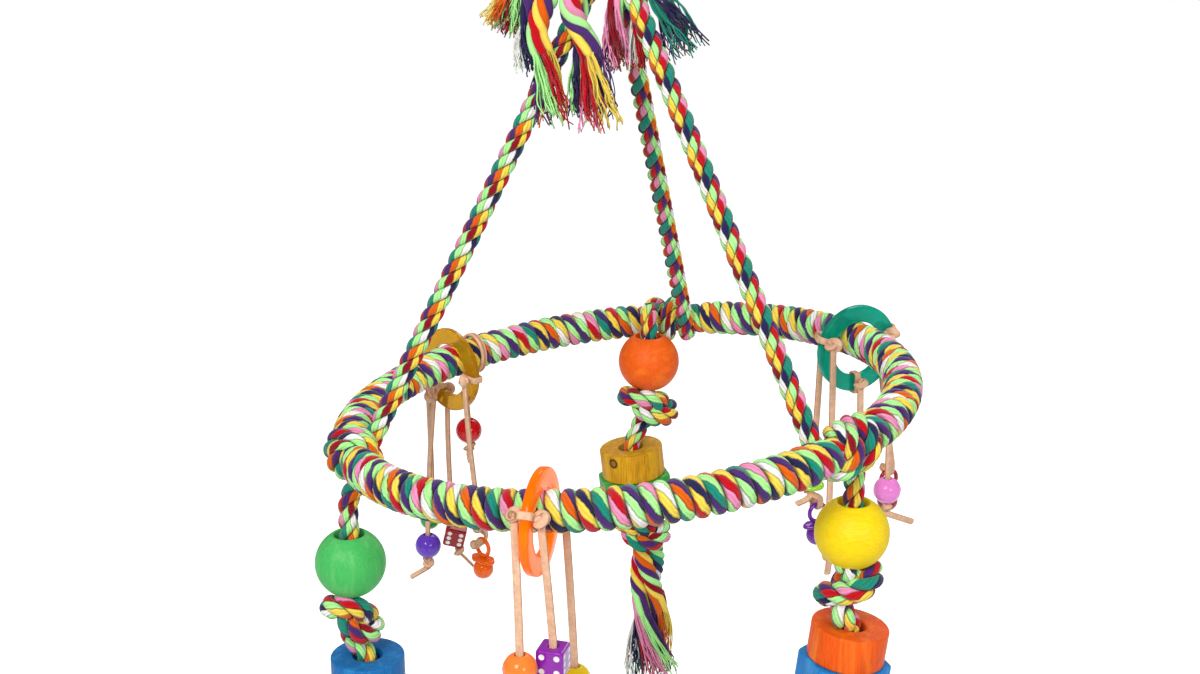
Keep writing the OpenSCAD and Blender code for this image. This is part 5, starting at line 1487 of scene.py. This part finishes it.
def die_face(normal, side, number):
    """A bent grid: a flat one times half the width over (|x|^14 + |y|^14 + |z|^14) ^ 1/14, then no further
    out than the sphere. A pip goes in by depth * (1 - gap^2). Gives the grid and each point's gap in pip
    radii."""
    s = np.linspace(-1, 1, FACE_POINTS)
    x, z = np.meshgrid(s, s, indexing="ij")
    normal, side = np.array(normal, float), np.array(side, float)
    up = np.cross(normal, side)
    p = (normal + side * x[..., None] + up * z[..., None]) * DIE_W / 2
    p = p * (DIE_W / 2 / (np.abs(p) ** DIE_POWER).sum(-1) ** (1 / DIE_POWER))[..., None]
    p = p * np.minimum(1, DIE_BALL / 2 / np.linalg.norm(p, axis=-1))[..., None]
    flat = np.stack([(p * side).sum(-1), (p * up).sum(-1)], axis=-1)
    gap = np.full(x.shape, NO_PIP)
    for pip in PIP_ROWS[number]:
        gap = np.minimum(gap, np.linalg.norm(flat - np.array(pip) * PIP_AT, axis=-1) / PIP_R)
    p = p - normal * (PIP_DEEP * np.clip(1 - gap**2, 0, 1))[..., None]
    if number == 0:
        inside = BEAD_BORE / 2 + MOUTH_CLEAR - np.linalg.norm(flat, axis=-1)
        p = p - normal * (MOUTH_DEEP * np.clip(inside / MOUTH_EDGE, 0, 1))[..., None]
    return p, gap


def sheet(grid, number):
    """Faces over an open grid, outward when its rows and columns turn counter-clockwise seen from
    outside."""
    rows, columns = grid.shape[:2]
    i, j = np.meshgrid(np.arange(rows - 1), np.arange(columns - 1), indexing="ij")
    k = i * columns + j
    quads = np.stack([k, k + columns, k + columns + 1, k + 1], axis=-1).reshape(-1, 4)
    uv = [np.zeros((len(quads), 4, 2))]
    return {"points": grid.reshape(-1, 3), "faces": [quads], "uv": uv, "dye": number.ravel()}


print("each face of a die is a grid of", FACE_POINTS**2, "points")

# %% Dice: colour, turn about the lace and lean, in degrees
DICE = {"die_red": ("9C0014", 45, RED_DIE_LEAN), "die_purple": ("8A1AA6", 0, 0.0),
        "die_green": ("2E9E4A", 0, 0.0)}
for node, (colour, turn, lean) in DICE.items():
    carrier_name, at = CHARM_AT[node]
    spin = np.array([[cosd(turn), sind(turn), 0], [-sind(turn), cosd(turn), 0], [0, 0, 1]])
    tip = np.array([[cosd(lean), 0, -sind(lean)], [0, 1, 0], [sind(lean), 0, cosd(lean)]])
    faces = [die_face(*face) for face in DIE_FACES]
    parts = [sheet(in_frame(p @ spin @ tip + at, carriers[carrier_name]), gap) for p, gap in faces]
    thing = piece(node + "_plastic", parts, plastic_for(node, colour, pips=True), node)
    welded = bmesh.new()
    welded.from_mesh(thing.data)
    bmesh.ops.remove_doubles(welded, verts=welded.verts, dist=0.02 * MM)
    welded.to_mesh(thing.data)
    welded.free()
    print(node, "has", len(thing.data.vertices), "points after its faces are joined")

# %% [markdown]
# A dummy charm is a ring handle, a shield with three lobes and a round bulb. The shield is a disc whose
# outline follows three circles; its edge is rounded, and a collar joins it to the bulb.

# %% A dummy
HANDLE_R, HANDLE_WIRE, BULB_R, BULB_Z, COLLAR_R = 6.5, 3.0, 7.5, -17.1, 3.9
SHIELD_TOP, SHIELD_LOW, SHIELD_EDGE, LOBE_R, LOBE_AT, SCALLOP = -6.8, -11.2, 1.4, 5.9, 4.62, 0.06


def dummy():
    """The three joined forms of a dummy charm round its handle's middle, and whether each is a closed ring.
    The shield's outline is the furthest that a ray from its middle reaches in three circles in a row, times
    1 + 0.06 cos 6a; the bulb is radius * cos and sin up to its collar."""
    handle = round_ring(HANDLE_R, oval(HANDLE_WIRE / 2, HANDLE_WIRE / 2, 16), 56)
    a = np.linspace(0, 2 * np.pi, 56, endpoint=False)
    ray = np.stack([np.cos(a), np.sin(a)], axis=1)
    lobes = np.array([-LOBE_AT, 0.0, LOBE_AT])
    reach = np.sqrt(np.maximum(0, LOBE_R**2 - (ray[:, 1:] * lobes) ** 2))
    edge = np.max(ray[:, :1] * lobes + reach, axis=1) * (1 + SCALLOP * np.cos(6 * a))
    steps = np.linspace(-90, 90, 9)
    half = (SHIELD_TOP - SHIELD_LOW) / 2 * 0.72
    radius = edge[:, None] - SHIELD_EDGE + SHIELD_EDGE * cosd(steps)
    height = SHIELD_TOP - 1.2 - half + half * sind(steps)
    middle = np.full((len(a), 1), 0.2)
    radius = np.concatenate([middle, radius, middle], axis=1)
    height = np.concatenate([height[:1], height, height[-1:] + 0.35])
    shield = np.stack([radius * ray[:, :1], radius * ray[:, 1:], height + 0 * radius], axis=-1)
    t = np.linspace(-88, 60, 22)
    radius = np.concatenate([BULB_R * cosd(t), [COLLAR_R, COLLAR_R - 0.1]])[:, None]
    height = np.concatenate([BULB_Z + BULB_R * sind(t), [SHIELD_LOW + 1.2, SHIELD_LOW + 2.4]])[:, None]
    bulb = np.stack([radius * np.cos(a), radius * np.sin(a), height + 0 * a], axis=-1)
    return [(handle, True), (shield.transpose(1, 0, 2), False), (bulb, False)]


print("a dummy has", sum(grid[..., 0].size for grid, ring in dummy()), "points")

# %% Dummies
DUMMIES = {"dummy_green": "17B84A", "dummy_orange": "FF6A00", "dummy_purple": "7A2AA8", "dummy_red": "B01226"}
for node, colour in DUMMIES.items():
    carrier_name, at = CHARM_AT[node]
    parts = [skin(in_frame(grid + at, carriers[carrier_name]), ring=ring) for grid, ring in dummy()]
    piece(node + "_plastic", parts, plastic_for(node, colour, clear=0.15), node)
print(len(DUMMIES), "dummies")

# %% [markdown]
# ## Steel
#
# The quick link, its sleeve, the welded ring and the rod in the hoop keep their CAD shape. Zinc plating is
# bright, slightly uneven, and finely scratched by the rope; the rod is the same steel but dull. Real
# scratches are hundredths of a millimetre wide, so they are drawn a millimetre wide and very shallow.


# %% Plated steel on the CAD nodes
def plated(name, colour, rough_low, rough_high):
    """Metal whose roughness varies, with fine scratches that run all ways."""
    material, t = blank(name)
    place = add(t, "TexCoord").outputs["Object"]
    patch = add(t, "TexNoise", {"Vector": place, "Scale": across_mm(8.3333), "Detail": 4.0})
    scratch = add(t, "TexNoise", {"Vector": place, "Scale": across_mm(1.1111), "Detail": 4.0,
                                  "Distortion": 2.0})
    rough = add(t, "MapRange", {0: patch, 1: 0.35, 2: 0.7, 3: rough_low, 4: rough_high})
    value = add(t, "Math", {0: patch, 1: 0.2, 2: 0.9}, operation="MULTIPLY_ADD")
    tone = add(t, "HueSaturation", {"Color": linear(colour), "Value": value})
    bump = add(t, "Bump", {"Height": scratch, "Strength": 0.12, "Distance": 0.2 * MM})
    shader = add(t, "BsdfPrincipled", {"Base Color": tone, "Metallic": 1.0, "Roughness": rough,
                                       "Normal": bump})
    add(t, "OutputMaterial", {"Surface": shader})
    return material


bright = plated("plated steel", "A4A7AB", 0.24, 0.42)
dull = plated("dull steel rod", "8A8C90", 0.4, 0.6)
STEEL = {"quick_link": bright, "link_sleeve": bright, "top_ring": bright, "hoop_core": dull}
for node, material in STEEL.items():
    mesh = frame["nodes"][node].data
    mesh.materials.clear()
    mesh.materials.append(material)
print(len(STEEL), "steel pieces")

# %% Triangles in all
print("triangles", sum(triangles.values()))
